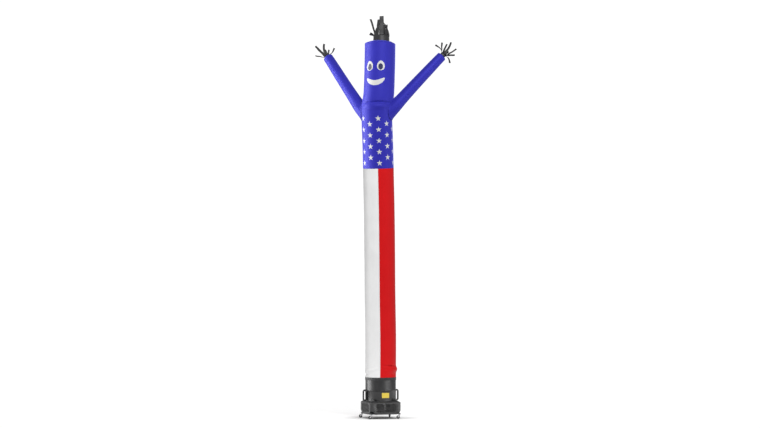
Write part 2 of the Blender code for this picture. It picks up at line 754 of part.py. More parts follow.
def make_plate():
    """The floor plate under the housing."""
    bm = bmesh.new()
    bmesh.ops.create_cube(bm, size=1.0)
    bmesh.ops.scale(bm, vec=(HOUSING_SIDE, HOUSING_SIDE, PLATE_TOP - PLATE_BOTTOM), verts=bm.verts)
    bmesh.ops.translate(bm, vec=(0, 0, (PLATE_TOP + PLATE_BOTTOM) / 2), verts=bm.verts)
    uprights = [e for e in bm.edges if abs(e.verts[0].co.z - e.verts[1].co.z) > 0.01]
    bmesh.ops.bevel(
        bm, geom=uprights, offset=HOUSING_CHAMFER, segments=2, profile=0.5, affect="EDGES", material=-1
    )
    plate = put("floor_plate", mesh_of(bm, "floor_plate"), "black_plastic", turned_to(BLOWER_AZIMUTH))
    # A shallow seat in each corner takes the castor's mount plate, so that nothing stands out under the flat face.
    inner = HOUSING_SIDE / 2 - SEAT_SIDE
    size = SEAT_SIDE + 0.02
    for number, (side_x, side_y) in enumerate(((1, 1), (1, -1), (-1, 1), (-1, -1)), start=1):
        centre = (side_x * (inner + size / 2), side_y * (inner + size / 2), PLATE_BOTTOM)
        seat = put_cutter(
            f"castor_seat_{number}",
            box_mesh("castor_seat", (size, size, 2 * SEAT_DEPTH), centre),
            turned_to(BLOWER_AZIMUTH),
        )
        boolean(plate, seat, "DIFFERENCE")


def make_motor():
    """The motor that shows through the inlets: a domed can lying front to back on a pedestal."""
    half = MOTOR_LENGTH / 2
    profile = (
        (0.0, half),
        (MOTOR_R * 0.55, half - 0.006),
        (MOTOR_R * 0.88, half - 0.020),
        (MOTOR_R, half - 0.042),
        (MOTOR_R, -half + 0.042),
        (MOTOR_R * 0.88, -half + 0.020),
        (MOTOR_R * 0.55, -half + 0.006),
        (0.0, -half),
    )
    place = turned_to(BLOWER_AZIMUTH, MOTOR_Z) @ Matrix.Rotation(math.radians(90), 4, "X")
    motor = turned("motor", profile, "motor_steel", place, 20, closed=False)
    foot_height = MOTOR_Z - MOTOR_R * 0.6 - PLATE_TOP - GAP
    foot = put_cutter(
        "motor_foot",
        box_mesh("motor_foot", (0.070, 0.120, foot_height), (0, 0, PLATE_TOP + GAP + foot_height / 2)),
        turned_to(BLOWER_AZIMUTH),
    )
    boolean(motor, foot, "UNION")


def make_handles():
    """A closed loop of tube on each side of the drum, its inner run against the drum and notched at the collar."""
    straight = HANDLE_HEIGHT / 2 - HANDLE_WIDTH / 2
    bend_r = HANDLE_WIDTH / 2 - HANDLE_TUBE_R
    points = []
    for sign in (1, -1):
        for step in range(7):
            angle = math.pi * step / 6
            points.append(
                (bend_r * math.cos(angle) * sign, 0, sign * (straight + bend_r * math.sin(angle)))
            )
    collar = put_cutter(
        "collar_clearance",
        cylinder_mesh("collar_clearance", COLLAR_R + 0.001, COLLAR_FOOT - 0.009, COLLAR_TOP, SIDES),
        turned_to(SEAM_AZIMUTH),
    )
    for name, azimuth in (("handle_left", -90), ("handle_right", 90)):
        curve = bpy.data.curves.new(name, "CURVE")
        curve.dimensions = "3D"
        curve.bevel_depth = HANDLE_TUBE_R
        curve.bevel_resolution = 2
        spline = curve.splines.new("POLY")
        spline.points.add(len(points) - 1)
        for point, place in zip(spline.points, points):
            point.co = (*place, 1)
        spline.use_cyclic_u = True
        guide = bpy.data.objects.new(name + "_curve", curve)
        object_parts.objects.link(guide)
        bpy.context.view_layer.update()
        loop = guide.evaluated_get(bpy.context.evaluated_depsgraph_get())
        mesh = bpy.data.meshes.new_from_object(loop)
        bpy.data.objects.remove(guide)
        # The loop stands in the plane through the drum's axis, so its own X runs out from the drum.
        facing = turned_to(BLOWER_AZIMUTH + azimuth - 90, HANDLE_Z)
        out = DRUM_R + GAP + HANDLE_WIDTH / 2
        handle = put(name, mesh, "black_plastic", facing @ Matrix.Translation((out, 0, 0)))
        boolean(handle, collar, "DIFFERENCE")


def facet_radius(azimuth, radius):
    """How far out a flat of the outlet barrel lies at this azimuth, when its corners are at the radius."""
    step = 360 / SIDES
    from_corner = (azimuth - SEAM_AZIMUTH) % step
    return radius * math.cos(math.radians(step / 2)) / math.cos(math.radians(from_corner - step / 2))


def make_label():
    """A blank yellow plate on the drum's front, bent to the drum's flats."""
    columns = len(LABEL_AZIMUTHS) - 1

    def place(across, z):
        azimuth = LABEL_AZIMUTHS[round(across * columns)]
        out = facet_radius(azimuth, DRUM_R) + GAP + LABEL_THICK
        return Vector((BLOWER_X, BLOWER_Y, z)) + compass(azimuth, out)

    bm = rolled_sheet(columns, (LABEL_BOTTOM, LABEL_TOP), place)
    label = put("blank_label", mesh_of(bm, "blank_label", smooth=True), "yellow_label")
    solidify(label, LABEL_THICK, -1)


def make_gland():
    """The cable gland in the housing's back wall."""
    place = (
        turned_to(BLOWER_AZIMUTH + 180)
        @ Matrix.Translation((0.196, -HOUSING_SIDE / 2 - GAP, 0.205))
        @ Matrix.Rotation(math.radians(90), 4, "X")
    )
    profile = (
        (0.0, 0.0),
        (0.013, 0.0),
        (0.013, 0.005),
        (0.009, 0.006),
        (0.009, 0.012),
        (0.007, 0.018),
        (0.0, 0.018),
    )
    turned("power_gland", profile, "black_plastic", place, 12, closed=False)


def castor_corner(azimuth):
    """The upright swivel axis of the castor at this corner of the blower."""
    reach = (HOUSING_SIDE / 2 - CASTOR_INSET) * math.sqrt(2)
    spot = turned_to(BLOWER_AZIMUTH) @ compass(azimuth, reach)
    return spot.x, spot.y


def make_castor(name, corner, trail):
    """One castor: a mount plate with its king pin, a fork that swivels on the pin, and a wheel on the fork's axle."""
    x, y = castor_corner(corner)
    upright = Matrix.Translation((x, y, 0)) @ Matrix.Rotation(math.radians(trail), 4, "Z")
    axle_z = WHEEL_R * math.cos(math.pi / WHEEL_SIDES)
    crown_top = PLATE_BOTTOM - GAP - MOUNT_THICK - 0.0030
    crown_bottom = crown_top - GAP - FORK_SHEET

    plate_top = PLATE_BOTTOM + SEAT_DEPTH - GAP
    pin_profile = (
        (0.0, plate_top - 0.0010),
        (0.0130, plate_top - 0.0010),
        (0.0130, crown_top),
        (0.0040, crown_top),
        (0.0040, crown_bottom - GAP),
        (0.0066, crown_bottom - GAP),
        (0.0066, crown_bottom - 0.0020),
        (0.0, crown_bottom - 0.0020),
    )
    mount = turned(
        f"castor_mount_{name}", pin_profile, "castor_zinc", Matrix.Translation((x, y, 0)), 16, closed=False
    )
    flange = put_cutter(
        f"mount_plate_{name}",
        box_mesh("mount_plate", (MOUNT_SIDE, MOUNT_SIDE, MOUNT_THICK), (0, 0, plate_top - MOUNT_THICK / 2)),
        Matrix.Translation((x, y, 0)) @ Matrix.Rotation(math.radians(BLOWER_AZIMUTH), 4, "Z"),
    )
    boolean(mount, flange, "UNION")

    inner = WHEEL_WIDTH / 2 + 0.0015
    fork = put(
        f"castor_fork_{name}",
        cylinder_mesh("fork_crown", 0.0145, crown_bottom, crown_top - GAP, 16),
        "castor_zinc",
        upright,
    )
    for side in (-1, 1):
        cheek = put_cutter(
            f"fork_cheek_{name}_{'a' if side < 0 else 'b'}",
            fork_cheek(side * inner, side * FORK_SHEET, axle_z, crown_bottom, crown_top - GAP),
            upright,
        )
        boolean(fork, cheek, "UNION")
    axle = put_cutter(
        f"axle_{name}",
        cylinder_mesh("axle", AXLE_R, -inner - FORK_SHEET - 0.0015, inner + FORK_SHEET + 0.0015, 12),
        upright @ Matrix.Translation((0, -CASTOR_TRAIL, axle_z)) @ Matrix.Rotation(math.radians(90), 4, "Y"),
    )
    boolean(fork, axle, "UNION")
    pin_hole = put_cutter(
        f"pin_hole_{name}",
        cylinder_mesh("pin_hole", 0.0043, crown_bottom - 0.01, crown_top + 0.01, 16),
        Matrix.Translation((x, y, 0)),
    )
    boolean(fork, pin_hole, "DIFFERENCE")

    half = WHEEL_WIDTH / 2
    wheel_profile = (
        (WHEEL_R - 0.0020, half),
        (WHEEL_R, half - 0.0030),
        (WHEEL_R, -half + 0.0030),
        (WHEEL_R - 0.0020, -half),
        (AXLE_R + AXLE_CLEARANCE, -half),
        (AXLE_R + AXLE_CLEARANCE, half),
    )
    # Half a side's turn brings a flat of the tread down onto the floor.
    wheel_place = (
        upright
        @ Matrix.Translation((0, -CASTOR_TRAIL, axle_z))
        @ Matrix.Rotation(math.radians(90), 4, "Y")
        @ Matrix.Rotation(math.pi / WHEEL_SIDES, 4, "Z")
    )
    turned(f"castor_wheel_{name}", wheel_profile, "wheel_rubber", wheel_place, WHEEL_SIDES)


def fork_cheek(start, thickness, axle_z, crown_bottom, crown_top):
    """One cheek of a fork: a plate from the crown down and back to the axle."""
    nose = 0.0075
    outline = (
        (0.0110, crown_top),
        (0.0110, crown_bottom - 0.0060),
        (-CASTOR_TRAIL + nose, axle_z - 0.0030),
        (-CASTOR_TRAIL + 0.0030, axle_z - nose),
        (-CASTOR_TRAIL - 0.0030, axle_z - nose),
        (-CASTOR_TRAIL - nose, axle_z - 0.0030),
        (-CASTOR_TRAIL - nose, axle_z + 0.0040),
        (-0.0110, crown_bottom - 0.0020),
        (-0.0110, crown_top),
    )
    bm = bmesh.new()
    face = bm.faces.new([bm.verts.new((start, y, z)) for y, z in outline])
    moved = bmesh.ops.extrude_face_region(bm, geom=[face])["geom"]
    verts = [item for item in moved if isinstance(item, bmesh.types.BMVert)]
    bmesh.ops.translate(bm, vec=(thickness, 0, 0), verts=verts)
    return mesh_of(bm, "fork_cheek")


def make_blower():
    """The blower, from its outlet down to its castors."""
    make_barrel()
    make_housing()
    make_grilles()
    make_plate()
    make_motor()
    make_handles()
    make_label()
    make_gland()
    for name, corner, trail in CASTORS:
        make_castor(name, corner, trail)


clear_scene()
object_parts = new_collection("air_dancer")
cutter_parts = new_collection("cutters")
make_blower()
make_strap()
make_figure()
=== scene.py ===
# %% [markdown]
# # An inflatable air dancer on its blower
#
# This lesson dresses a finished solid model. The solids say where every piece lies and how it moves.
# The cells below sew finer cloth over them, give each piece its real finish, and light the whole like a
# product on white paper. Lengths are in metres, +Z is up and the printed face looks along -Y.

# %% Load the solid model as a fixed frame
import math

import random

import bmesh
import bpy
from mathutils import Matrix, Vector, noise


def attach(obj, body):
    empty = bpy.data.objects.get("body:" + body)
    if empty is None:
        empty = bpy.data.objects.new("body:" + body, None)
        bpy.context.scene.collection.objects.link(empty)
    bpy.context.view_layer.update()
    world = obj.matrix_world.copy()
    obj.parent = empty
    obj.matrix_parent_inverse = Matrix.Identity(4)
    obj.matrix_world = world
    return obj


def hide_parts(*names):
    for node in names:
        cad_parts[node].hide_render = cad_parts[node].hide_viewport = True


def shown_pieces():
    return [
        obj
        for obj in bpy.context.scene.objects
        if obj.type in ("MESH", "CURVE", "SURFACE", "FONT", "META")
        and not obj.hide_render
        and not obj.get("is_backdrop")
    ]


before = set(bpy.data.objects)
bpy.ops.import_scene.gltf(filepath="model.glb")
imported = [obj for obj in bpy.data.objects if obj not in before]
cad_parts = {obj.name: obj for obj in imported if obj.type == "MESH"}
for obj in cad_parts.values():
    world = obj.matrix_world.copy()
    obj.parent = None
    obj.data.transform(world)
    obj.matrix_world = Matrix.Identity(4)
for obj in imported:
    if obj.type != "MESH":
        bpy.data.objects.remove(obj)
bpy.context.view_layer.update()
print("pieces in the solid model:", len(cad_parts))

# %% [markdown]
# ## The camera
#
# The picture was taken from far away with a long lens, so the tube's sides hardly draw together.
# The camera could be placed by eye. It is worked out instead: 50 m away, level with the middle of the
# figure, and turned 16.6 degrees to its left, which is where the seam between the stripes then shows.

# %% Camera
METRES_PER_PIXEL = 0.014886
PICTURE_WIDTH = 760
VIEW_TURN = math.radians(16.6)
CAMERA_AWAY = 50.0
CAMERA_Z = 3.04
BLOWER = Vector((0.03332, -0.03686, 0.0))

looking = Vector((-math.sin(VIEW_TURN), math.cos(VIEW_TURN), 0))
rightwards = Vector((math.cos(VIEW_TURN), math.sin(VIEW_TURN), 0))
camera_data = bpy.data.cameras.new("camera")
camera_data.sensor_width = 36.0
camera_data.lens = 36.0 * CAMERA_AWAY / (PICTURE_WIDTH * METRES_PER_PIXEL)
camera_data.clip_end = 400.0
camera = bpy.data.objects.new("camera", camera_data)
bpy.context.scene.collection.objects.link(camera)
aside = rightwards * 0.6 * METRES_PER_PIXEL
camera.location = BLOWER - aside - looking * CAMERA_AWAY + Vector((0, 0, CAMERA_Z))
camera.rotation_euler = (math.radians(90), 0, VIEW_TURN)
bpy.context.scene.camera = camera
print("focal length in mm:", round(camera_data.lens, 1))

# %% [markdown]
# ## Light
#
# Two tall soft boxes stand left and right of the figure. They draw the bright bands down both flanks of
# the cloth and of the black plastic. A broad light high in front fills the middle, and the sky is white
# paper. The view transform is the plain one, because it leaves the cloth's strong colours as they are.

# %% Lights and sky
LAMP_AIM_Z = 2.9
scene = bpy.context.scene
scene.view_settings.view_transform = "Standard"


def soft_box(name, azimuth, distance, height, size, power):
    """A rectangular lamp at an azimuth from the camera's side, turned to the figure."""
    lamp = bpy.data.lights.new(name, "AREA")
    lamp.shape = "RECTANGLE"
    lamp.size, lamp.size_y = size
    lamp.energy = power
    box = bpy.data.objects.new(name, lamp)
    scene.collection.objects.link(box)
    turn = VIEW_TURN + math.radians(azimuth)
    box.location = Vector((math.sin(turn) * distance, -math.cos(turn) * distance, height))
    box.rotation_euler = (Vector((0, 0, LAMP_AIM_Z)) - box.location).to_track_quat("-Z", "Y").to_euler()
    box.visible_camera = False
    return box


soft_box("box_left", -80, 6.0, 3.2, (1.2, 7.5), 130)
soft_box("box_right", 64, 7.0, 3.2, (1.4, 7.5), 60)
soft_box("box_front", 14, 9.0, 10.5, (7.0, 4.0), 1150)

sky = bpy.data.worlds.new("white_paper")
sky.use_nodes = True
scene.world = sky
sky_tree = sky.node_tree
seen, fill = sky_tree.nodes["Background"], sky_tree.nodes.new("ShaderNodeBackground")
for background, strength in ((seen, 1.05), (fill, 0.30)):
    background.inputs["Color"].default_value = (1, 1, 1, 1)
    background.inputs["Strength"].default_value = strength
path = sky_tree.nodes.new("ShaderNodeLightPath")
chooser = sky_tree.nodes.new("ShaderNodeMixShader")
sky_tree.links.new(path.outputs["Is Camera Ray"], chooser.inputs["Fac"])
sky_tree.links.new(fill.outputs["Background"], chooser.inputs[1])
sky_tree.links.new(seen.outputs["Background"], chooser.inputs[2])
sky_tree.links.new(chooser.outputs["Shader"], sky_tree.nodes["World Output"].inputs["Surface"])

# %% [markdown]
# ## Sums that become nodes
#
# The stars and the face are printed on the cloth. They could be pictures, but a picture has only so many
# pixels. Here each shape is a sum over the cloth's own coordinates. The small class below lets such sums
# be written in plain Python, and turns each step into a Math node.

# %% A number over the surface


class Field:
    """A number that changes over the surface. Sums with it add Math nodes to the material."""

    def __init__(self, tree, socket):
        self.tree = tree
        self.socket = socket

    def step(self, operation, *others):
        node = self.tree.nodes.new("ShaderNodeMath")
        node.operation = operation
        for place, value in enumerate((self, *others)):
            if isinstance(value, Field):
                self.tree.links.new(value.socket, node.inputs[place])
            else:
                node.inputs[place].default_value = value
        return Field(self.tree, node.outputs[0])

    def __add__(self, other):
        return self.step("ADD", other)

    def __sub__(self, other):
        return self.step("SUBTRACT", other)

    def __mul__(self, other):
        return self.step("MULTIPLY", other)

    def __truediv__(self, other):
        return self.step("DIVIDE", other)

    def clamped(self):
        return self.step("MAXIMUM", 0.0).step("MINIMUM", 1.0)

    def above(self, limit, softness=0.0004):
        """1 where the number is above the limit and 0 below it, over a narrow soft edge."""
        return ((self - limit) / softness + 0.5).clamped()

    def below(self, limit, softness=0.0004):
        return ((self - limit) / -softness + 0.5).clamped()


def new_material(name, colour, roughness, metallic=0.0, **more):
    """A material, its tree and its shader. Names in more are the shader's sockets, with _ for a space."""
    material = bpy.data.materials.new(name)
    material.use_nodes = True
    tree = material.node_tree
    shader = tree.nodes["Principled BSDF"]
    shader.inputs["Base Color"].default_value = (*colour, 1.0)
    shader.inputs["Roughness"].default_value = roughness
    shader.inputs["Metallic"].default_value = metallic
    for socket, value in more.items():
        shader.inputs[socket.replace("_", " ")].default_value = value
    return material, tree, shader


def cloth_coordinates(tree, layer):
    """The two numbers of a UV map as fields."""
    source = tree.nodes.new("ShaderNodeUVMap")
    source.uv_map = layer
    parts = tree.nodes.new("ShaderNodeSeparateXYZ")
    tree.links.new(source.outputs["UV"], parts.inputs["Vector"])
    return source, Field(tree, parts.outputs["X"]), Field(tree, parts.outputs["Y"])


def cloudy(tree, scale, detail):
    """Soft noise from 0 to 1. The scale says how many blobs go into a metre."""
    texture = tree.nodes.new("ShaderNodeTexNoise")
    texture.inputs["Scale"].default_value = scale
    texture.inputs["Detail"].default_value = detail
    place = tree.nodes.new("ShaderNodeTexCoord").outputs["Object"]
    tree.links.new(place, texture.inputs["Vector"])
    return Field(tree, texture.outputs["Fac"])


def tinted(tree, amount, first, second):
    """A colour between two: the first at amount 0, the second at 1. Either may be a socket."""
    mix = tree.nodes.new("ShaderNodeMix")
    mix.data_type = "RGBA"
    tree.links.new(amount.socket, mix.inputs["Factor"])
    for value, socket in ((first, mix.inputs[6]), (second, mix.inputs[7])):
        if isinstance(value, tuple):
            socket.default_value = (*value, 1.0)
        else:
            tree.links.new(value, socket)
    return mix.outputs[2]


def bump(tree, shader, height, distance, strength, under=None):
    """Light catches this relief. The distance is the relief's height in metres."""
    node = tree.nodes.new("ShaderNodeBump")
    node.inputs["Distance"].default_value = distance
    node.inputs["Strength"].default_value = strength
    tree.links.new(height.socket, node.inputs["Height"])
    if under is not None:
        tree.links.new(under.outputs["Normal"], node.inputs["Normal"])
    tree.links.new(node.outputs["Normal"], shader.inputs["Normal"])
    return node


# %% [markdown]
# ## Nylon
#
# The figure is cut from thin coated nylon. Close up it shows a fine weave with a stronger thread every
# few millimetres, two rows of stitching along each sewn edge, and small crinkles. From afar it has a
# silky glow that is strongest where the cloth turns away, so the shader gets sheen in the cloth's colour.

# %% Nylon material
WEAVE_PITCH = 0.0011
RIPSTOP_PITCH = 0.0060
STITCH_ROWS = (0.0030, 0.0085)
STITCH_LENGTH = 0.0036
LAP_WIDTH = 0.0115


def waves(field, pitch):
    """A ridge every pitch metres, from 0 to 1."""
    return (field * (math.tau / pitch)).step("SINE") * 0.5 + 0.5


def nylon(name, colour, glow, glow_weight, thread, roughness=0.52, printed=None):
    """Woven nylon. printed may add a pattern: it gets the tree, u, v and the cloth's colour."""
    material, tree, shader = new_material(
        name, colour, roughness, Sheen_Weight=glow_weight, Sheen_Roughness=0.45, Specular_IOR_Level=0.5
    )
    shader.inputs["Sheen Tint"].default_value = (*glow, 1.0)
    shader.inputs["Specular Tint"].default_value = (*glow, 1.0)
    source, u, v = cloth_coordinates(tree, "Cloth")
    _, from_edge, along = cloth_coordinates(tree, "Seams")
    mottled = cloudy(tree, 5.0, 4.0)
    dark = tuple(c * 0.90 for c in colour)
    light = tuple(min(c * 1.06, 1.0) for c in colour)
    shown = tinted(tree, mottled, dark, light)
    if printed is not None:
        shown = printed(tree, u, v, shown)
    stitched = None
    for row in STITCH_ROWS:
        on_row = (from_edge - row).step("ABSOLUTE").below(0.00045, 0.0003)
        dashes = waves(along, STITCH_LENGTH).above(0.28, 0.2)
        stitched = on_row * dashes if stitched is None else stitched.step("MAXIMUM", on_row * dashes)
    # A darker line along the lap's folded edge: painted shade in the fold.
    lap_fold_shade = (from_edge - LAP_WIDTH).step("ABSOLUTE").below(0.0005, 0.0006)
    shown = tinted(tree, stitched * 0.75, shown, thread)
    shown = tinted(tree, lap_fold_shade * 0.30, shown, tuple(c * 0.45 for c in colour))
    tree.links.new(shown, shader.inputs["Base Color"])
    varied = mottled * 0.16 + (roughness - 0.08)
    tree.links.new(varied.socket, shader.inputs["Roughness"])
    weave = waves(u, WEAVE_PITCH) * waves(v, WEAVE_PITCH)
    ribs_u, ribs_v = (waves(field, RIPSTOP_PITCH).above(0.90, 0.08) for field in (u, v))
    ribs = ribs_u.step("MAXIMUM", ribs_v)
    lap = from_edge.below(LAP_WIDTH, 0.0010)
    crinkle = cloudy(tree, 34.0, 5.0)
    first = bump(tree, shader, crinkle, 0.0011, 0.55)
    second = bump(tree, shader, weave * 0.4 + ribs * 0.6, 0.00012, 0.8, first)
    bump(tree, shader, lap * 0.8 - stitched * 0.5, 0.0007, 0.9, second)
    return material


# %% [markdown]
# ## The printed stars and face
#
# Ten columns of five-pointed stars stand round the chest, every second column half a step lower, and the
# back seam stays plain. A star is one straight edge, seen ten times: the angle round its middle is folded
# until only that edge is left. The face is two eggs with pupils and a smile between two bowed lines.

# %% Star and face patterns
TUBE_R = 0.2283
STAR_COLUMN = TUBE_R * math.radians(33.6)
STAR_MIDDLE = TUBE_R * math.radians(21.7)
STAR_ROW = 0.1660
STAR_TOP = 4.468
STAR_POINT = 0.0455
STAR_NOTCH = 0.0175
EYE_OUT = 0.0905
FACE_SHIFT = -0.0070
EYE_Z = 5.202
# Half width, half height and how much narrower the top is.
EYE_SHAPE = (0.0578, 0.0725, 0.13)
PUPIL_SHAPE = (0.0350, 0.0475, 0.05)
PUPIL_IN, PUPIL_DOWN = 0.004, 0.015
SMILE_HALF = 0.147
SMILE_Z = 4.9450
SMILE_LIFT = 0.0670
SMILE_THICK = 0.0375


def star_mask(u, v):
    column = ((u - STAR_MIDDLE) / STAR_COLUMN).step("ROUND")
    across = u - STAR_MIDDLE - column * STAR_COLUMN
    odd = column.step("ABSOLUTE").step("MODULO", 2.0)
    first_row = odd * (-STAR_ROW / 2) + STAR_TOP
    row = ((first_row - v) / STAR_ROW).step("ROUND")
    up = v - first_row + row * STAR_ROW
    radius = (across * across + up * up).step("SQRT")
    angle = across.step("ARCTAN2", up)
    folded = ((angle + math.tau * 1.1).step("MODULO", math.tau / 5) - math.tau / 10).step("ABSOLUTE")
    x = radius * folded.step("COSINE")
    y = radius * folded.step("SINE")
    notch_x = STAR_NOTCH * math.cos(math.pi / 5)
    notch_y = STAR_NOTCH * math.sin(math.pi / 5)
    edge = math.hypot(notch_x - STAR_POINT, notch_y)
    inside = (y * ((notch_x - STAR_POINT) / edge) - (x - STAR_POINT) * (notch_y / edge)).above(0.0)
    allowed = row.above(-0.5, 0.01) * (row + odd).below(4.5, 0.01)
    return inside * allowed * column.step("ABSOLUTE").below(4.5, 0.01).step(
        "MAXIMUM", (column + 5.0).step("ABSOLUTE").below(0.5, 0.01)
    )


def egg(u, v, middle_u, middle_v, half_width, half_height, narrowing):
    """How far inside an egg the point is: 0 in the middle and 1 on its edge."""
    up = (v - middle_v) / half_height
    width = up * -narrowing + 1.0
    out = (u - middle_u) / half_width / width
    return out * out + up * up


def stars_and_face(tree, u, v, cloth):
    """Off-white stars, eyes and smile and dark pupils over the cloth's colour, the left pupil lighter as a
    painted highlight.
    """
    white = star_mask(u, v)
    for side in (-1, 1):
        eye = egg(u, v, side * EYE_OUT + FACE_SHIFT, EYE_Z, *EYE_SHAPE).below(1.0, 0.02)
        white = white.step("MAXIMUM", eye)
    share = (u / SMILE_HALF).step("ABSOLUTE").step("MINIMUM", 1.0)
    middle = share * share * SMILE_LIFT + SMILE_Z
    thick = (share.step("POWER", 4.6) * -1.0 + 1.0).step("SQRT") * SMILE_THICK
    smile = (thick - (v - middle).step("ABSOLUTE")).above(0.0)
    white = white.step("MAXIMUM", smile)
    shown = tinted(tree, white, cloth, (0.55, 0.55, 0.49))
    # The left pupil's lighter grey is a painted highlight of gloss on the print. The right pupil is the
    # ink's own dark grey.
    for side, ink_and_painted_gloss in ((-1, (0.085, 0.085, 0.050)), (1, (0.024, 0.024, 0.006))):
        middle = side * (EYE_OUT - PUPIL_IN) + FACE_SHIFT
        pupil = egg(u, v, middle, EYE_Z - PUPIL_DOWN, *PUPIL_SHAPE).below(1.0, 0.03)
        shown = tinted(tree, pupil, shown, ink_and_painted_gloss)
    return shown


BLUE = ((0.023, 0.022, 0.300), (0.20, 0.20, 1.0), 0.8, (0.03, 0.03, 0.25))
blue_cloth = nylon("blue_nylon", *BLUE, printed=stars_and_face)
plain_blue = nylon("blue_nylon_plain", *BLUE)
white_cloth = nylon("white_nylon", (0.80, 0.80, 0.80), (1.0, 1.0, 1.0), 0.04, (0.55, 0.55, 0.56))
red_cloth = nylon("red_nylon", (0.60, 0.0085, 0.0105), (1.0, 0.12, 0.12), 0.12, (0.35, 0.010, 0.012))
black_cloth = nylon("black_nylon", (0.022, 0.022, 0.023), (0.8, 0.8, 0.8), 0.18, (0.05, 0.05, 0.05))

# %% [markdown]
# ## How the tube hangs
#
# The blower holds the figure up by air alone, so the tube isn't a straight pipe: it sways a little, the
# head leans back, and folds lie round its foot and across the neck. Two short tables hold the middle
# line and the folds, and one function gives any point of the cloth from its azimuth and its height.

# %% Shape of the tube
SEAM_AZIMUTH = 15.0
HEM_Z = 0.5740
WAIST_Z = 3.7210
HEAD_TOP_Z = 5.5670
CLOTH = 0.0015
GAP = 0.0003

SWAY = (
    # height, x, y, lean to the back, lean to +X (degrees)
    (0.560, 0.0000, 0.0000, 0.0, 0.0),
    (1.160, 0.0020, 0.0000, 0.0, 0.0),
    (1.790, -0.0056, -0.0058, -1.0, 0.0),
    (2.500, -0.0073, -0.0210, -1.8, -0.1),
    (3.040, -0.0078, -0.0408, -2.4, -0.2),
    (3.750, -0.0128, -0.0754, -3.2, -0.3),
    (4.110, -0.0155, -0.0963, -3.7, -0.4),
    (4.380, -0.0208, -0.1158, -4.1, -0.4),
    (4.600, -0.0255, -0.1270, -3.0, -0.2),
    (4.700, -0.0165, -0.1170, 2.0, -0.4),
    (4.780, -0.0030, -0.1040, 8.0, -0.8),
    (4.860, 0.0012, -0.0915, 10.0, -1.2),
    (5.100, -0.0026, -0.0488, 10.0, -1.4),
    (5.340, -0.0087, -0.0058, 10.0, -1.4),
    (5.600, -0.0183, 0.0390, 10.0, -1.4),
)
FOLDS = (
    # azimuth, height, slope (m per radian), half height, half width (degrees), depth
    (-34.0, 0.716, 0.034, 0.020, 62.0, 0.0120),
    (-62.0, 0.655, 0.012, 0.015, 52.0, -0.0140),
    (60.0, 0.784, 0.000, 0.010, 46.0, -0.0170),
    (86.0, 0.732, 0.004, 0.036, 74.0, 0.0210),
    (38.0, 0.738, 0.020, 0.012, 15.0, -0.0060),
    (60.0, 0.655, -0.012, 0.014, 38.0, -0.0050),
    (172.0, 0.755, 0.018, 0.024, 40.0, 0.0090),
    (160.0, 0.690, -0.010, 0.016, 34.0, -0.0070),
    (228.0, 0.730, -0.024, 0.022, 44.0, 0.0080),
    (240.0, 0.790, -0.016, 0.015, 34.0, -0.0070),
)
NECK_AZIMUTH, NECK_HALF_WIDTH = 18.0, 78.0
NECK_FOLD_Z, NECK_FOLD_BOW = 4.686, 0.008
NECK_RIDGE, NECK_RIDGE_DROP, NECK_RIDGE_HALF = 0.0150, 0.042, 0.056
NECK_TROUGH, NECK_TROUGH_RISE, NECK_TROUGH_HALF = -0.0240, 0.006, 0.021
STRAP_CLEARS_Z = 0.614


def compass(azimuth, distance):
    """The point at this distance in plan, at an azimuth from the front towards +X."""
    angle = math.radians(azimuth)
    return Vector((distance * math.sin(angle), -distance * math.cos(angle), 0))


def smooth_row(table, at):
    """The table's other columns at a value of its first one, on a smooth curve through its rows."""
    last = len(table) - 2
    i = max(k for k in range(last + 1) if k == 0 or table[k][0] <= at)
    before, row, after = table[max(i - 1, 0)], table[i], table[i + 1]
    beyond = table[min(i + 2, last + 1)]
    span = after[0] - row[0]
    t = (at - row[0]) / span
    values = []
    for column in range(1, len(row)):
        slope_in = (after[column] - before[column]) / max(after[0] - before[0], span)
        slope_out = (beyond[column] - row[column]) / max(beyond[0] - row[0], span)
        values.append(
            (2 * t**3 - 3 * t**2 + 1) * row[column]
            + (t**3 - 2 * t**2 + t) * span * slope_in
            + (3 * t**2 - 2 * t**3) * after[column]
            + (t**3 - t**2) * span * slope_out
        )
    return values


def ring_frame(height):
    """The place and lean of the cloth's ring at this height."""
    x, y, back, side = smooth_row(SWAY, height)
    lean = Matrix.Rotation(math.radians(-back), 4, "X") @ Matrix.Rotation(math.radians(side), 4, "Y")
    return Matrix.Translation((BLOWER.x + x, BLOWER.y + y, height)) @ lean


def swell(offset, half):
    """1 in the middle of a fold, falling smoothly to 0 at its half size."""
    return math.cos(math.pi / 2 * min(abs(offset) / half, 1)) ** 2


def turn_between(azimuth, other):
    return (azimuth - other + 180) % 360 - 180


def big_folds(azimuth, height):
    """The main folds: those round the foot and the one across the neck."""
    depth = 0.0
    for fold_azimuth, fold_z, slope, half_height, half_width, size in FOLDS:
        away = turn_between(azimuth, fold_azimuth)
        rise = fold_z + slope * math.radians(away)
        depth += size * swell(away, half_width) * swell(height - rise, half_height * 1.8)
    away = turn_between(azimuth, NECK_AZIMUTH)
    line = NECK_FOLD_Z - NECK_FOLD_BOW * math.radians(away) ** 2
    across = swell(away, NECK_HALF_WIDTH)
    ridge = swell(height - line + NECK_RIDGE_DROP, NECK_RIDGE_HALF)
    trough = swell(height - line - NECK_TROUGH_RISE, NECK_TROUGH_HALF)
    return depth + across * (NECK_RIDGE * ridge + NECK_TROUGH * trough)


def round_place(azimuth, height=0.0):
    """Where the noise is read: on a circle, so that nothing jumps where the cloth closes."""
    angle = math.radians(azimuth)
    return Vector((math.sin(angle), math.cos(angle), height))


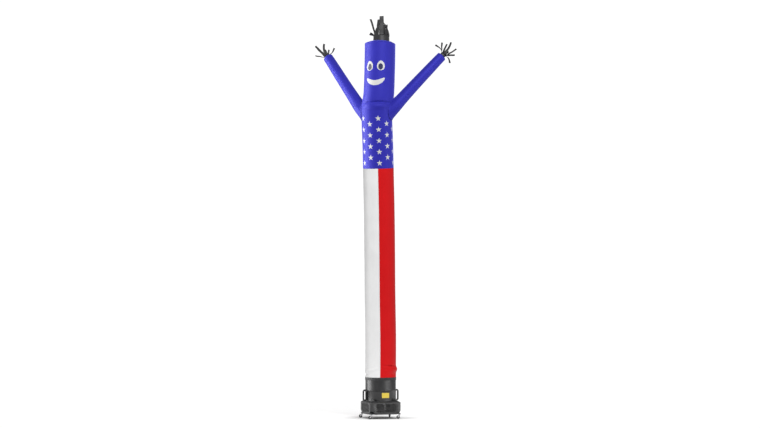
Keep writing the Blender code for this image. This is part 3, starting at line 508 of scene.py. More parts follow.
def small_folds(azimuth, height):
    """Puckers along the seams and the hem, and the slow waves of cloth that air holds up."""
    where = round_place(azimuth, height)
    depth = 0.0016 * noise.noise(where * 2.3)
    depth += 0.0007 * noise.noise(Vector((where.x * 9, where.y * 9, height * 1.4)))
    pull = noise.noise(Vector((where.x * 22, where.y * 22, height * 2.0)))
    depth += 0.0030 * pull * math.exp(-abs(height - HEM_Z - 0.05) / 0.09)
    depth += 0.0022 * pull * math.exp(-abs(height - WAIST_Z) / 0.07)
    depth += 0.0020 * pull * math.exp(-abs(height - HEAD_TOP_Z) / 0.05)
    depth -= 0.0012 * math.exp(-((height - WAIST_Z) / 0.009) ** 2)
    below_waist = 1.0 if height < WAIST_Z else 0.25
    for seam in range(4):
        away = abs(turn_between(azimuth, SEAM_AZIMUTH + 90 * seam))
        if away < 14:
            pucker = noise.noise(Vector((seam * 7.0, away * 0.05, height * 34)))
            depth += below_waist * 0.0016 * pucker * math.exp(-away / 4.0)
    # Between the blower's collar and the strap there is no room for folds.
    return min(max(depth, 0.0001), 0.0003) if height < STRAP_CLEARS_Z else depth


def tube_point(azimuth, height):
    """A point of the tube's outer face."""
    radius = TUBE_R + big_folds(azimuth, height) + small_folds(azimuth, height)
    return ring_frame(height) @ compass(azimuth, radius)


# %% [markdown]
# ## A flat piece of cloth, rolled into place
#
# Every panel starts as a flat grid, as it lies on the cutting table, and each of its points is then moved
# to where it hangs. Before that, the grid's two maps are written: one in metres of cloth for the weave
# and the print, and one with the distance to the nearest sewn edge for the stitching.

# %% Cloth from a flat grid
JOIN_WITHIN = 0.00002


def fine_steps(start, end, step):
    """Values from start to end about a step apart."""
    count = max(1, round((end - start) / step))
    return [start + (end - start) * k / count for k in range(count + 1)]


def sewn_steps(length, step):
    """Places across a panel, closer together at its two sewn edges."""
    edge = [0.0, 0.004, 0.0085, 0.0125]
    inner = fine_steps(edge[-1], length - edge[-1], step)
    return edge[:-1] + inner + [length - value for value in reversed(edge[:-1])]


def cloth_grid(across, along, place, edge_distance, cloth_at=lambda a, b: (a, b)):
    """A grid with a column for each value of across and a row for each of along, moved by place(a, b)."""
    bm = bmesh.new()
    cloth_map = bm.loops.layers.uv.new("Cloth")
    seam_map = bm.loops.layers.uv.new("Seams")
    columns, rows = len(across) - 1, len(along) - 1
    bmesh.ops.create_grid(bm, x_segments=columns, y_segments=rows, size=0.5)
    spots = {}
    for vert in bm.verts:
        a = across[round((vert.co.x + 0.5) * columns)]
        b = along[round((vert.co.y + 0.5) * rows)]
        spots[vert] = (a, b)
    for face in bm.faces:
        for loop in face.loops:
            a, b = spots[loop.vert]
            loop[cloth_map].uv = cloth_at(a, b)
            loop[seam_map].uv = edge_distance(a, b)
    for vert, (a, b) in spots.items():
        vert.co = place(a, b)
    return bm


def join_up(bm):
    """Joins points that meet where the cloth closes."""
    bmesh.ops.remove_doubles(bm, verts=bm.verts, dist=JOIN_WITHIN)


def only(items, kind):
    """The items of one kind among those that an operator made."""
    return [item for item in items if isinstance(item, kind)]


def piece_from(bm, name, material, body="dancer", smooth=180.0):
    """Turns a bmesh into a named piece that rides on a body of the solid model."""
    mesh = bpy.data.meshes.new(name)
    bm.to_mesh(mesh)
    bm.free()
    mesh.shade_smooth()
    if smooth < 180:
        mesh.set_sharp_from_angle(angle=math.radians(smooth))
    mesh.materials.append(material)
    piece = bpy.data.objects.new(name, mesh)
    scene.collection.objects.link(piece)
    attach(piece, body)
    return piece


def thicken(piece, thickness, offset=-1):
    wall = piece.modifiers.new("thickness", "SOLIDIFY")
    wall.thickness = thickness
    wall.offset = offset
    return piece


# %% [markdown]
# ## The four stripe panels
#
# The lower tube is sewn from four quarter panels, white, red, white and red, as long as the tube. It
# could be one tube with painted stripes, but then the seams would be only paint. Each panel here is its
# own sheet, and the rows of its grid lie closer together where the cloth folds above the hem.

# %% Stripe panels
QUARTER = math.pi / 2 * TUBE_R
STRIPES = (
    # name, start azimuth, material, slot
    ("stripe_white_front", SEAM_AZIMUTH - 90, white_cloth, "white_nylon"),
    ("stripe_red_right", SEAM_AZIMUTH, red_cloth, "red_nylon"),
    ("stripe_white_back", SEAM_AZIMUTH + 90, white_cloth, "white_nylon"),
    ("stripe_red_left", SEAM_AZIMUTH + 180, red_cloth, "red_nylon"),
)
stripe_rows = (
    fine_steps(HEM_Z, 0.860, 0.0065)[:-1]
    + fine_steps(0.860, 3.600, 0.026)[:-1]
    + fine_steps(3.600, WAIST_Z - GAP, 0.0080)
)


def to_nearest_edge(a, b, width, bottom, top):
    """The distance to the nearest sewn edge of a panel, and the place along that edge."""
    side = min(a, width - a)
    end = min(b - bottom, top - b)
    return (side, b) if side < end else (end, a)


for name, start, material, slot in STRIPES:
    margin = GAP / 2

    def stripe_place(a, b, start=start):
        inset = a + margin * (1 - 2 * a / QUARTER)
        return tube_point(start + math.degrees(inset / TUBE_R), b)

    bm = cloth_grid(
        sewn_steps(QUARTER, 0.0110),
        stripe_rows,
        stripe_place,
        lambda a, b: to_nearest_edge(a, b, QUARTER, HEM_Z, WAIST_Z),
    )
    stripe = thicken(piece_from(bm, name + "_cloth", material), CLOTH)
    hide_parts(name)
    print(name, "faces:", len(stripe.data.polygons))

# %% [markdown]
# ## The blue tube, its sleeves and its crown
#
# Chest and head are one length of blue cloth, open into both sleeves. A sleeve is a tapering tube whose
# root ring lies on the chest. It could be cut to the chest by a Boolean, but each of its lines can also be
# followed inwards until it meets the chest, and then the cloth flows round the armhole as sewn cloth does.

# %% Blue tube with its armholes
ROUND = math.tau * TUBE_R
BACK_SEAM = SEAM_AZIMUTH - 180
SEAM_START = BACK_SEAM / 360 * ROUND
SLEEVE_CHEST_Z = 4.620
ARMHOLE_LOW, ARMHOLE_HIGH, ARMHOLE_MARGIN = 4.30, 4.75, 0.016
HAND_VENT_R = 0.0460
SLEEVE_RINGS = (
    # out from the chest's middle line, azimuth from the front, height, radius
    (0.080, 90.0, 4.424, 0.1040),
    (0.230, 94.0, 4.584, 0.0990),
    (0.400, 103.0, 4.777, 0.0890),
    (0.590, 108.5, 4.984, 0.0825),
    (0.780, 112.0, 5.184, 0.0785),
    (0.900, 113.5, 5.309, 0.0750),
    (0.955, 114.0, 5.365, 0.0735),
    (0.977, 114.2, 5.387, 0.0725),
    (0.979, 114.2, 5.389, 0.0720),
)
SLEEVE_START, SLEEVE_END = SLEEVE_RINGS[0][0], SLEEVE_RINGS[-1][0]
WRIST_R = SLEEVE_RINGS[-1][3]
SLEEVE_ROUND, SLEEVE_LENGTH = 0.52, 1.05
SLEEVE_REACH = {1: 1.0, -1: 0.983}
chest_middle = ring_frame(SLEEVE_CHEST_Z).translation


def sleeve_middle(out, mirror):
    """A point of a sleeve's middle line, its direction and its radius."""

    def spot(at):
        azimuth, height, radius = smooth_row(SLEEVE_RINGS, at)
        flat = compass(mirror * azimuth, at * SLEEVE_REACH[mirror])
        return Vector((chest_middle.x + flat.x, chest_middle.y + flat.y, height)), radius

    here, radius = spot(out)
    low, high = max(out - 0.01, SLEEVE_START), min(out + 0.01, SLEEVE_END)
    return here, (spot(high)[0] - spot(low)[0]).normalized(), radius


def sleeve_point(out, turn, mirror, grow=0.0):
    """A point of a sleeve, with small creases that fade along it."""
    here, along, radius = sleeve_middle(out, mirror)
    frame_at = along.to_track_quat("Z", "Y").to_matrix()
    where = Vector((math.cos(turn) * 2.2, math.sin(turn) * 2.2, mirror * 5 + out * 2.6))
    fading = math.exp(-(out - 0.2) / 0.16)
    creases = 0.0016 * noise.noise(where) + 0.0024 * noise.noise(where * 3.1) * fading
    creases += 0.0026 * noise.noise(where * 4.0) * math.exp(-(0.975 - out) / 0.035)
    return here + frame_at @ Vector((math.cos(turn), math.sin(turn), 0)) * (radius + creases + grow)


def outside_chest(point):
    """How far a point lies outside the blue tube."""
    ring = ring_frame(point.z)
    local = ring.inverted() @ point
    ring = ring_frame(point.z - local.z)
    local = ring.inverted() @ point
    azimuth = math.degrees(math.atan2(local.x, -local.y))
    return local.xy.length - TUBE_R - big_folds(azimuth, point.z) - small_folds(azimuth, point.z)


def inside_sleeve(point, mirror):
    """How far a point lies inside a sleeve's wall, or a negative number outside it."""
    best = -1.0
    for step in range(8, 32):
        here, along, radius = sleeve_middle(step * 0.012, mirror)
        if abs((point - here).dot(along)) < 0.012:
            best = max(best, radius - (point - here).length)
    return best


blue_rows = (
    fine_steps(WAIST_Z, 3.860, 0.0090)[:-1]
    + fine_steps(3.860, 4.340, 0.018)[:-1]
    + fine_steps(4.340, 4.640, 0.011)[:-1]
    + fine_steps(4.640, 4.860, 0.0055)[:-1]
    + fine_steps(4.860, 5.480, 0.018)[:-1]
    + fine_steps(5.480, HEAD_TOP_Z, 0.0080)
)
bm = cloth_grid(
    [SEAM_START + value for value in fine_steps(0, ROUND, 0.0110)],
    blue_rows,
    lambda a, b: tube_point(math.degrees(a / TUBE_R), b),
    lambda a, b: (min(b - WAIST_Z, HEAD_TOP_Z - b, abs(a - SEAM_START)), a),
)
armhole = []
for face in bm.faces:
    middle = face.calc_center_median()
    if ARMHOLE_LOW < middle.z < ARMHOLE_HIGH and abs(middle.x - chest_middle.x) > 0.13:
        if inside_sleeve(middle, 1 if middle.x > chest_middle.x else -1) > ARMHOLE_MARGIN:
            armhole.append(face)
bmesh.ops.delete(bm, geom=armhole, context="FACES")
join_up(bm)
star_tube = thicken(piece_from(bm, "star_tube_cloth", blue_cloth), CLOTH)
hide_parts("star_tube")
print("blue tube faces:", len(star_tube.data.polygons), "armhole faces cut:", len(armhole))

# %% Sleeves
SLEEVE_COLUMNS = 56
ROOT_NEAREST, ROOT_FARTHEST = 0.085, 0.420


def sleeve_seams(a, b):
    """The distance to a sleeve's nearest sewn edge, and how far down the sleeve it is."""
    around, down = a * SLEEVE_ROUND, b * SLEEVE_LENGTH
    from_wrist = (1 - b) * SLEEVE_LENGTH + 0.002
    return min(down, from_wrist, around, (1 - a) * SLEEVE_ROUND), down


for side, mirror in (("right", 1), ("left", -1)):
    roots = []
    for column in range(SLEEVE_COLUMNS):
        turn = column / SLEEVE_COLUMNS * math.tau
        low, high = ROOT_NEAREST, ROOT_FARTHEST
        for _ in range(26):
            middle = (low + high) / 2
            if outside_chest(sleeve_point(middle, turn, mirror)) > 0.0004:
                high = middle
            else:
                low = middle
        roots.append(high)
    roots.append(roots[0])
    print(side, "sleeve's root lies", round(min(roots), 3), "to", round(max(roots), 3), "m out")

    def sleeve_place(a, b, mirror=mirror, roots=roots):
        column = round(a * SLEEVE_COLUMNS)
        root = roots[column]
        out = root + (SLEEVE_END - root) * b
        fillet = 0.020 * math.exp(-(out - root) / 0.014)
        return sleeve_point(out, a * math.tau, mirror, fillet * 0.55)

    bm = cloth_grid(
        [k / SLEEVE_COLUMNS for k in range(SLEEVE_COLUMNS + 1)],
        fine_steps(0, 0.03, 0.006)[:-1] + fine_steps(0.03, 0.90, 0.014)[:-1] + fine_steps(0.90, 1, 0.008),
        sleeve_place,
        sleeve_seams,
        lambda a, b: (9.0 + a * SLEEVE_ROUND, 9.0 + b * SLEEVE_LENGTH),
    )
    join_up(bm)
    # The wrist is drawn in over the vent's band, as a gathered hem.
    rim = [edge for edge in bm.edges if edge.is_boundary and edge.verts[0].co.z > 5.2]
    wrist_middle, wrist_along, _ = sleeve_middle(SLEEVE_END, mirror)
    for share in (0.35, 0.70, 1.0):
        grown = bmesh.ops.extrude_edge_only(bm, edges=rim)["geom"]
        rim = only(grown, bmesh.types.BMEdge)
        for vert in {vert for edge in rim for vert in edge.verts}:
            out = vert.co - wrist_middle
            flat = out - wrist_along * out.dot(wrist_along)
            radius = WRIST_R + (HAND_VENT_R + 0.0012 - WRIST_R) * share
            ripple = 0.0022 * noise.noise(flat.normalized() * 6.0 + Vector((0, 0, mirror * 3.0)))
            vert.co = wrist_middle + flat.normalized() * radius + wrist_along * (0.003 * share + ripple)
    sleeve = thicken(piece_from(bm, f"sleeve_{side}_cloth", plain_blue), CLOTH)
    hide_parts(f"sleeve_{side}")
    print(side, "sleeve faces:", len(sleeve.data.polygons))

# %% [markdown]
# ## The crown and the vent
#
# The crown closes the head but for a round vent, where most of the air leaves. Its cloth is gathered
# round the vent's band, so it stands up a little and its creases run to the vent. It starts as a ring of
# flat cloth here: rings of points from the head's rim to the vent, lifted on a soft curve.

# %% Crown
VENT_R = 0.1236
VENT_SHIFT = Vector((0.0150, 0.0040, 0))
CROWN_RISE = 0.0300
CROWN_BAND_HEIGHT = 0.1230
CROWN_WIDTH = 0.1050
CROWN_COLUMNS = 130
head_top = ring_frame(HEAD_TOP_Z)
crown_shares = [0.0, 0.02, 0.05, 0.09] + fine_steps(0.14, 1.0, 0.055)


def crown_place(a, b):
    azimuth = BACK_SEAM + a * 360
    rim = TUBE_R + small_folds(azimuth, HEAD_TOP_Z) + 0.0004
    radius = rim + (VENT_R + 0.0006 - rim) * b
    lift = math.sin(min(b * 1.25, 1.0) * math.pi / 2) * (CROWN_RISE - CLOTH - GAP)
    turn = round_place(azimuth)
    gather = noise.noise(turn * 7.0 + Vector((0, 0, b * 1.2)))
    lift += 0.0045 * gather * b * (1.15 - b) * 2 + 0.0020 * noise.noise(turn * 3.0) * b
    return head_top @ (compass(azimuth, radius) + VENT_SHIFT * b + Vector((0, 0, GAP + CLOTH + lift)))


bm = cloth_grid(
    [k / CROWN_COLUMNS for k in range(CROWN_COLUMNS + 1)],
    crown_shares,
    crown_place,
    lambda a, b: (min(b, 1 - b) * CROWN_WIDTH, a * 1.2),
    lambda a, b: (a * 1.1 + 12, b * CROWN_WIDTH + 12),
)
join_up(bm)
crown = thicken(piece_from(bm, "crown_cloth", plain_blue), CLOTH)
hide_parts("crown")
print("crown faces:", len(crown.data.polygons))

# %% [markdown]
# ## Streamers
#
# A black band stands in each vent, and its free edge is cut into strips that flutter in the air that
# leaves. Each strip could be a curve with a flat profile. It is a narrow grid instead, walked out from the
# band step by step, because a walk can bend, turn and curl the strip differently along its length.

# %% Streamer tables
CROWN_STREAMERS = (
    # azimuth, width, length, splay, curl, sway, twist
    (17.0, 0.074, 0.303, -6.0, -2.0, 2.0, 4.0),
    (49.0, 0.040, 0.155, 14.0, 6.0, 8.0, 20.0),
    (76.0, 0.034, 0.262, 6.0, -56.0, 0.0, -24.0),
    (101.0, 0.044, 0.130, 4.0, -40.0, 4.0, 16.0),
    (127.0, 0.044, 0.165, -4.0, -20.0, -6.0, 16.0),
    (152.0, 0.044, 0.175, -8.0, -10.0, 6.0, -14.0),
    (178.0, 0.046, 0.205, -4.0, -6.0, 4.0, 12.0),
    (202.0, 0.044, 0.215, -4.0, -4.0, -5.0, -10.0),
    (225.0, 0.036, 0.205, 2.0, -4.0, 6.0, 14.0),
    (247.0, 0.036, 0.325, 8.0, 20.0, 0.0, -45.0),
    (271.0, 0.044, 0.135, -12.0, 0.0, -4.0, 30.0),
    (298.0, 0.052, 0.070, 50.0, 50.0, 0.0, 85.0),
    (323.0, 0.044, 0.155, -8.0, -8.0, -6.0, 18.0),
    (346.0, 0.048, 0.238, -1.0, 0.0, -2.0, 8.0),
)
HAND_STREAMERS = {
    "right": (
        (20.0, 0.034, 0.212, 28.0, -16.0, 0.0, 30.0),
        (60.0, 0.034, 0.100, 8.0, 10.0, 0.0, 30.0),
        (105.0, 0.034, 0.135, 4.0, 6.0, 0.0, 40.0),
        (150.0, 0.034, 0.160, 44.0, 8.0, -6.0, 85.0),
        (190.0, 0.036, 0.160, 58.0, 80.0, 6.0, -85.0),
        (230.0, 0.028, 0.165, 44.0, 6.0, -6.0, 50.0),
        (264.0, 0.034, 0.204, 12.0, 8.0, 30.0, 15.0),
        (300.0, 0.034, 0.175, 60.0, 4.0, 0.0, -20.0),
        (338.0, 0.036, 0.128, 84.0, 66.0, 0.0, 85.0),
    ),
    "left": (
        (12.0, 0.030, 0.200, 36.0, 4.0, 0.0, 45.0),
        (50.0, 0.036, 0.240, 14.0, -2.0, 0.0, -15.0),
        (88.0, 0.036, 0.218, 12.0, 2.0, 0.0, 20.0),
        (126.0, 0.036, 0.176, 10.0, 4.0, -46.0, 10.0),
        (165.0, 0.034, 0.075, 22.0, 2.0, 4.0, 25.0),
        (203.0, 0.034, 0.070, 34.0, -6.0, -4.0, -30.0),
        (243.0, 0.036, 0.150, 86.0, -58.0, 0.0, 80.0),
        (285.0, 0.034, 0.110, 40.0, 20.0, 6.0, -25.0),
        (328.0, 0.034, 0.105, 54.0, 30.0, -10.0, 30.0),
    ),
}
STRIP_STEPS = 20
STRIP_THICK = 0.0009

# %% Growing the strips


def strip_line(ring_r, top, azimuth, length, splay, curl, sway, twist):
    """The middle points of one strip, each with the directions across it and out of its face."""
    up, out = Vector((0, 0, 1)), compass(azimuth, 1).normalized()
    wide = up.cross(out).normalized()
    tilt = Matrix.Rotation(math.radians(splay), 3, wide)
    centre = compass(azimuth, ring_r) + Vector((0, 0, top))
    lines = [(centre - up * 0.004, wide, out)]
    up, out = tilt @ up, tilt @ out
    step = length / STRIP_STEPS
    for number in range(1, STRIP_STEPS + 1):
        flutter = math.sin(azimuth * 1.7 + number * 0.55) * 3.2
        bend = Matrix.Rotation(math.radians(curl / STRIP_STEPS + flutter), 3, wide)
        lean = Matrix.Rotation(math.radians(sway / STRIP_STEPS), 3, out)
        spin = Matrix.Rotation(math.radians(twist / STRIP_STEPS), 3, up)
        turn = spin @ lean @ bend
        up, out, wide = turn @ up, turn @ out, turn @ wide
        centre = centre + up * step
        lines.append((centre, wide, out))
    return lines


def make_tuft(name, place, ring_r, bottom, top, flare, streamers):
    """The band round a vent and its strips, as one piece of cloth."""
    seed = random.Random(name)
    bm = bmesh.new()
    cloth_map = bm.loops.layers.uv.new("Cloth")
    seam_map = bm.loops.layers.uv.new("Seams")
    columns, rows = 96, 8
    made = bmesh.ops.create_grid(bm, x_segments=columns, y_segments=rows, size=0.5)["verts"]
    area = math.tau * ring_r * (top - bottom)
    for vert in made:
        a, b = vert.co.x + 0.5, vert.co.y + 0.5
        turn = a * math.tau
        ripple = noise.noise(Vector((math.cos(turn) * 3.4, math.sin(turn) * 3.4, b * 1.6)))
        radius = ring_r + flare * b + 0.030 * ring_r * ripple * b
        vert.co = compass(a * 360, radius) + Vector((0, 0, bottom + (top - bottom) * b))
    for face in bm.faces:
        for loop in face.loops:
            turn = math.atan2(loop.vert.co.x, -loop.vert.co.y) / math.tau
            loop[cloth_map].uv = (turn * math.tau * ring_r + 20, loop.vert.co.z + 20)
            loop[seam_map].uv = (min(loop.vert.co.z - bottom, 1), turn)
    join_up(bm)
    for index, row in enumerate(streamers):
        azimuth, width, length = row[:3]
        area += width * length
        line = strip_line(ring_r + flare, top, azimuth, length, *row[3:])
        grid = bmesh.ops.create_grid(bm, x_segments=4, y_segments=STRIP_STEPS, size=0.5)["verts"]
        cup = seed.uniform(-0.22, 0.30) if ring_r > 0.1 else seed.choice((-1, 1)) * seed.uniform(0.45, 0.85)
        ragged = seed.uniform(-0.25, 0.25)
        spots = {}
        for vert in grid:
            a, b = vert.co.x * 2, round((vert.co.y + 0.5) * STRIP_STEPS)
            spots[vert] = (a, b)
        for face in {face for vert in grid for face in vert.link_faces}:
            for loop in face.loops:
                a, b = spots[loop.vert]
                loop[cloth_map].uv = (a * width / 2 + index, b * length / STRIP_STEPS + 30)
                loop[seam_map].uv = (1, b)
        for vert, (a, b) in spots.items():
            centre, wide, out = line[b]
            share = b / STRIP_STEPS
            half = width / 2 * (1 - 0.18 * share)
            drop = out * cup * half * (a * a - 0.3) * min(share * 3, 1)
            end = Vector((0, 0, 0))
            if b == STRIP_STEPS:
                end = (line[b][0] - line[b - 1][0]).normalized() * ragged * half * a
            vert.co = centre + wide * a * half + drop + end
    bmesh.ops.transform(bm, matrix=place, verts=bm.verts)
    tuft = thicken(piece_from(bm, name + "_cloth", black_cloth), STRIP_THICK, 0)
    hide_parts(name)
    flat_width = math.tau * ring_r
    round(area / flat_width, 3)
    print(name, "strips:", len(streamers), "flat area in square metres:", round(area, 3))


make_tuft(
    "streamers_crown",
    head_top @ Matrix.Translation(VENT_SHIFT),
    VENT_R - 0.0016,
    CROWN_RISE - 0.016,
    CROWN_BAND_HEIGHT,
    -0.0040,
    CROWN_STREAMERS,
)
for side, mirror in (("right", 1), ("left", -1)):
    wrist, wrist_along, _ = sleeve_middle(SLEEVE_END, mirror)
    wrist_frame = wrist_along.to_track_quat("Z", "Y").to_matrix().to_4x4()
    wrist_frame.translation = wrist
    make_tuft(
        f"streamers_{side}", wrist_frame, HAND_VENT_R - 0.0012, -0.015, 0.042, -0.005, HAND_STREAMERS[side]
    )

# %% [markdown]
# ## Plastic, paint, zinc and rubber
#
# The blower is moulded in black plastic with a fine grain. One even black would hide its form, so its
# gloss changes a little over the surface and some dust lies in patches. Each hard material could have its
# own nodes, but they differ only in colour, gloss, grain and dust, so one function makes them all.

# %% Hard materials


def hard_material(name, dark, light, roughness, metallic=0.0, grain=1300.0, relief=0.00004, dust=0.0):
    """A hard surface with slow changes in colour and gloss, a fine grain and some dust."""
    material, tree, shader = new_material(name, light, roughness, metallic)
    cloud = cloudy(tree, 7.0, 5.0)
    fine = cloudy(tree, grain, 2.0)
    scuff = cloudy(tree, 55.0, 6.0).above(0.60, 0.16)
    shown = tinted(tree, cloud, dark, light)
    shown = tinted(tree, scuff * dust, shown, (0.22, 0.21, 0.20))
    tree.links.new(shown, shader.inputs["Base Color"])
    gloss = cloud * 0.12 + scuff * 0.10 + (roughness - 0.08)
    tree.links.new(gloss.socket, shader.inputs["Roughness"])
    bump(tree, shader, fine, relief, 0.6)
    return material


plastic = hard_material(
    "black_plastic_grained", (0.010, 0.010, 0.0105), (0.016, 0.016, 0.017), 0.41, dust=0.04
)
grille_paint = hard_material("grille_paint", (0.012, 0.012, 0.012), (0.022, 0.022, 0.023), 0.42, dust=0.10)
motor_paint = hard_material("motor_paint", (0.13, 0.13, 0.135), (0.19, 0.19, 0.20), 0.30, dust=0.15)
zinc = hard_material("zinc_plate", (0.48, 0.48, 0.50), (0.66, 0.66, 0.67), 0.34, 1.0, 500.0, 0.00003, 0.12)
rubber = hard_material("grey_rubber", (0.020, 0.020, 0.021), (0.036, 0.036, 0.037), 0.62, dust=0.30)
yellow = hard_material("yellow_plate", (0.68, 0.51, 0.055), (0.74, 0.57, 0.075), 0.42, dust=0.03)
webbing = nylon("black_webbing", (0.018, 0.018, 0.019), (0.8, 0.8, 0.8), 0.12, (0.07, 0.07, 0.07), 0.60)
print("materials so far:", len(bpy.data.materials))

# %% [markdown]
# ## Moulded and pressed pieces
#
# Housing, floor plate, power gland, castor plates and forks are boxes and plates whose only fault is that
# their edges are knife sharp. They could be modelled again. A copy of the solid with a small rounding is
# enough, because a rounded edge is what catches the light on a real moulding. The solid itself stays as
# it is: its copy is first joined up at its corners and cleared of the lines that cross its flat faces.

# %% Rounded copies
BLOWER_AZIMUTH = 35.6
HALF_SIDE = 0.2370
CASTORS = (("near", -45.0, -66.0), ("right", 45.0, -80.0), ("far", 135.0, 12.0), ("left", -135.0, -88.0))


def turned_to(azimuth, height=0.0):
    """A place on the blower's axis, turned to an azimuth."""
    return Matrix.Translation((BLOWER.x, BLOWER.y, height)) @ Matrix.Rotation(math.radians(azimuth), 4, "Z")


def finer_copy(node, material, width, body="dancer"):
    """A copy of a solid with rounded edges."""
    bm = bmesh.new()
    bm.from_mesh(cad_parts[node].data)
    bmesh.ops.remove_doubles(bm, verts=bm.verts, dist=0.00001)
    bmesh.ops.dissolve_limit(bm, angle_limit=math.radians(0.8), verts=bm.verts, edges=bm.edges)
    bmesh.ops.recalc_face_normals(bm, faces=bm.faces)
    piece = piece_from(bm, node + "_finish", material, body)
    rounding = piece.modifiers.new("rounded edges", "BEVEL")
    rounding.width = width
    rounding.segments = 2
    rounding.limit_method = "ANGLE"
    rounding.angle_limit = math.radians(32)
    rounding.harden_normals = True
    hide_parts(node)


finer_copy("base_housing", plastic, 0.0016)
finer_copy("floor_plate", plastic, 0.0020)
finer_copy("power_gland", plastic, 0.0006)
for name, _, _ in CASTORS:
    finer_copy("castor_mount_" + name, zinc, 0.0004)
    finer_copy("castor_fork_" + name, zinc, 0.0005, "fork_" + name)
print("rounded copies:", 3 + 2 * len(CASTORS))

# %% [markdown]
# ## Turned pieces
#
# The outlet barrel, the motor, the knobs and the castor wheels are round, so each is half a section spun
# about its axis. They could be stock cylinders, but a section also holds the rolled rim, the step under
# the collar, the cooling grooves and the tyre's shoulders. The cloth's hem fits round the barrel's collar.

# %% Spinning a section


def arc(radius_at, height_at, radius, start, end, steps):
    """Points of a section along a round corner, between two angles in degrees."""
    turns = [math.radians(start + (end - start) * k / steps) for k in range(steps + 1)]
    return [(radius_at + radius * math.cos(turn), height_at + radius * math.sin(turn)) for turn in turns]


def spin_section(bm, section, place, steps):
    """Spins points of (radius, height) about the Z axis of a place."""
    points = [bm.verts.new((radius, 0, height)) for radius, height in section]
    lines = [bm.edges.new(pair) for pair in zip(points, points[1:])]
    bmesh.ops.spin(
        bm, geom=points + lines, axis=(0, 0, 1), cent=(0, 0, 0), steps=steps, angle=math.tau, use_merge=True
    )
    bmesh.ops.remove_doubles(bm, verts=bm.verts, dist=0.000005)
    bmesh.ops.transform(bm, matrix=place, verts=bm.verts)
    bmesh.ops.recalc_face_normals(bm, faces=bm.faces)


def turned_piece(node, section, place, material, steps, body="dancer"):
    bm = bmesh.new()
    spin_section(bm, section, place, steps)
    piece = piece_from(bm, node + "_finish", material, body, 34.0)
    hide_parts(node)
    return piece


# %% Outlet barrel
COLLAR_R, DRUM_R, WALL = 0.2265, 0.2140, 0.0040
barrel_section = (
    [(COLLAR_R - WALL, 0.4190), (COLLAR_R - WALL, 0.6040)]
    + arc(COLLAR_R - WALL / 2, 0.6040, WALL / 2, 180, 0, 8)
    + [(COLLAR_R, 0.5400), (COLLAR_R, 0.4210)]
    + arc(COLLAR_R - 0.0030, 0.4200, 0.0030, 0, -60, 4)
    + [(DRUM_R + 0.0012, 0.4100), (DRUM_R, 0.4080), (DRUM_R, 0.2360), (DRUM_R - WALL, 0.2360)]
    + [(DRUM_R - WALL, 0.4110), (COLLAR_R - WALL, 0.4190)]
)
barrel = turned_piece("outlet_barrel", barrel_section, turned_to(0), plastic, 160)
print("barrel faces:", len(barrel.data.polygons))

# %% Motor
MOTOR_R, MOTOR_Z, GROOVE_R = 0.0540, 0.1640, 0.0520
DOME_FOOT, DOME_RISE = 0.028, 0.042
dome = []
for degrees in range(0, 91, 9):
    turn = math.radians(degrees)
    dome.append((MOTOR_R * math.sin(turn), DOME_FOOT + DOME_RISE * math.cos(turn)))
grooves = []
for k in range(6):
    z = 0.022 - k * 0.0085
    grooves += [(MOTOR_R, z + 0.0030), (GROOVE_R, z + 0.0020)]
    grooves += [(GROOVE_R, z - 0.0006), (MOTOR_R, z - 0.0016)]
back = [(radius, -height) for radius, height in reversed(dome)]
bm = bmesh.new()
motor_place = turned_to(BLOWER_AZIMUTH, MOTOR_Z) @ Matrix.Rotation(math.radians(90), 4, "X")
spin_section(bm, dome + grooves + back, motor_place, 56)
foot_top, foot_bottom = MOTOR_Z - MOTOR_R * 0.6, 0.0843
foot = bmesh.ops.create_cube(bm, size=1.0)["verts"]
foot_size = Matrix.Diagonal((0.070, 0.120, foot_top - foot_bottom, 1))
foot_place = turned_to(BLOWER_AZIMUTH, (foot_top + foot_bottom) / 2)
bmesh.ops.transform(bm, matrix=foot_place @ foot_size, verts=foot)
motor = piece_from(bm, "motor_finish", motor_paint, smooth=34.0)
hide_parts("motor")
print("motor faces:", len(motor.data.polygons))

# %% Corner knobs
KNOB_OUT, SHANK_R, GRIP_Z, GRIP_DEPTH = 0.2320, 0.0118, 0.2715, 0.075
knob_section = (
    [(0.0, 0.2683), (0.0112, 0.2683), (0.0112, 0.2705), (0.0130, 0.2722)]
    + arc(0.0095, 0.2905, 0.0035, 0, 90, 5)
    + [(0.0040, 0.2940), (0.0034, 0.2932), (0.0, 0.2932)]
)
for index in range(4):
    knob_place = turned_to(BLOWER_AZIMUTH) @ Matrix.Translation(compass(45 + 90 * index, KNOB_OUT))
    bm = bmesh.new()
    spin_section(bm, knob_section, Matrix(), 64)
    for vert in bm.verts:
        if vert.co.xy.length > SHANK_R and vert.co.z > GRIP_Z:
            grip = 1 - GRIP_DEPTH * max(0.0, math.cos(8 * math.atan2(vert.co.y, vert.co.x))) ** 3
            vert.co.xy *= grip
    bmesh.ops.transform(bm, matrix=knob_place, verts=bm.verts)
    knob = piece_from(bm, f"corner_knob_{index + 1}_finish", plastic, smooth=34.0)
    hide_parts(f"corner_knob_{index + 1}")
print("knobs:", 4)

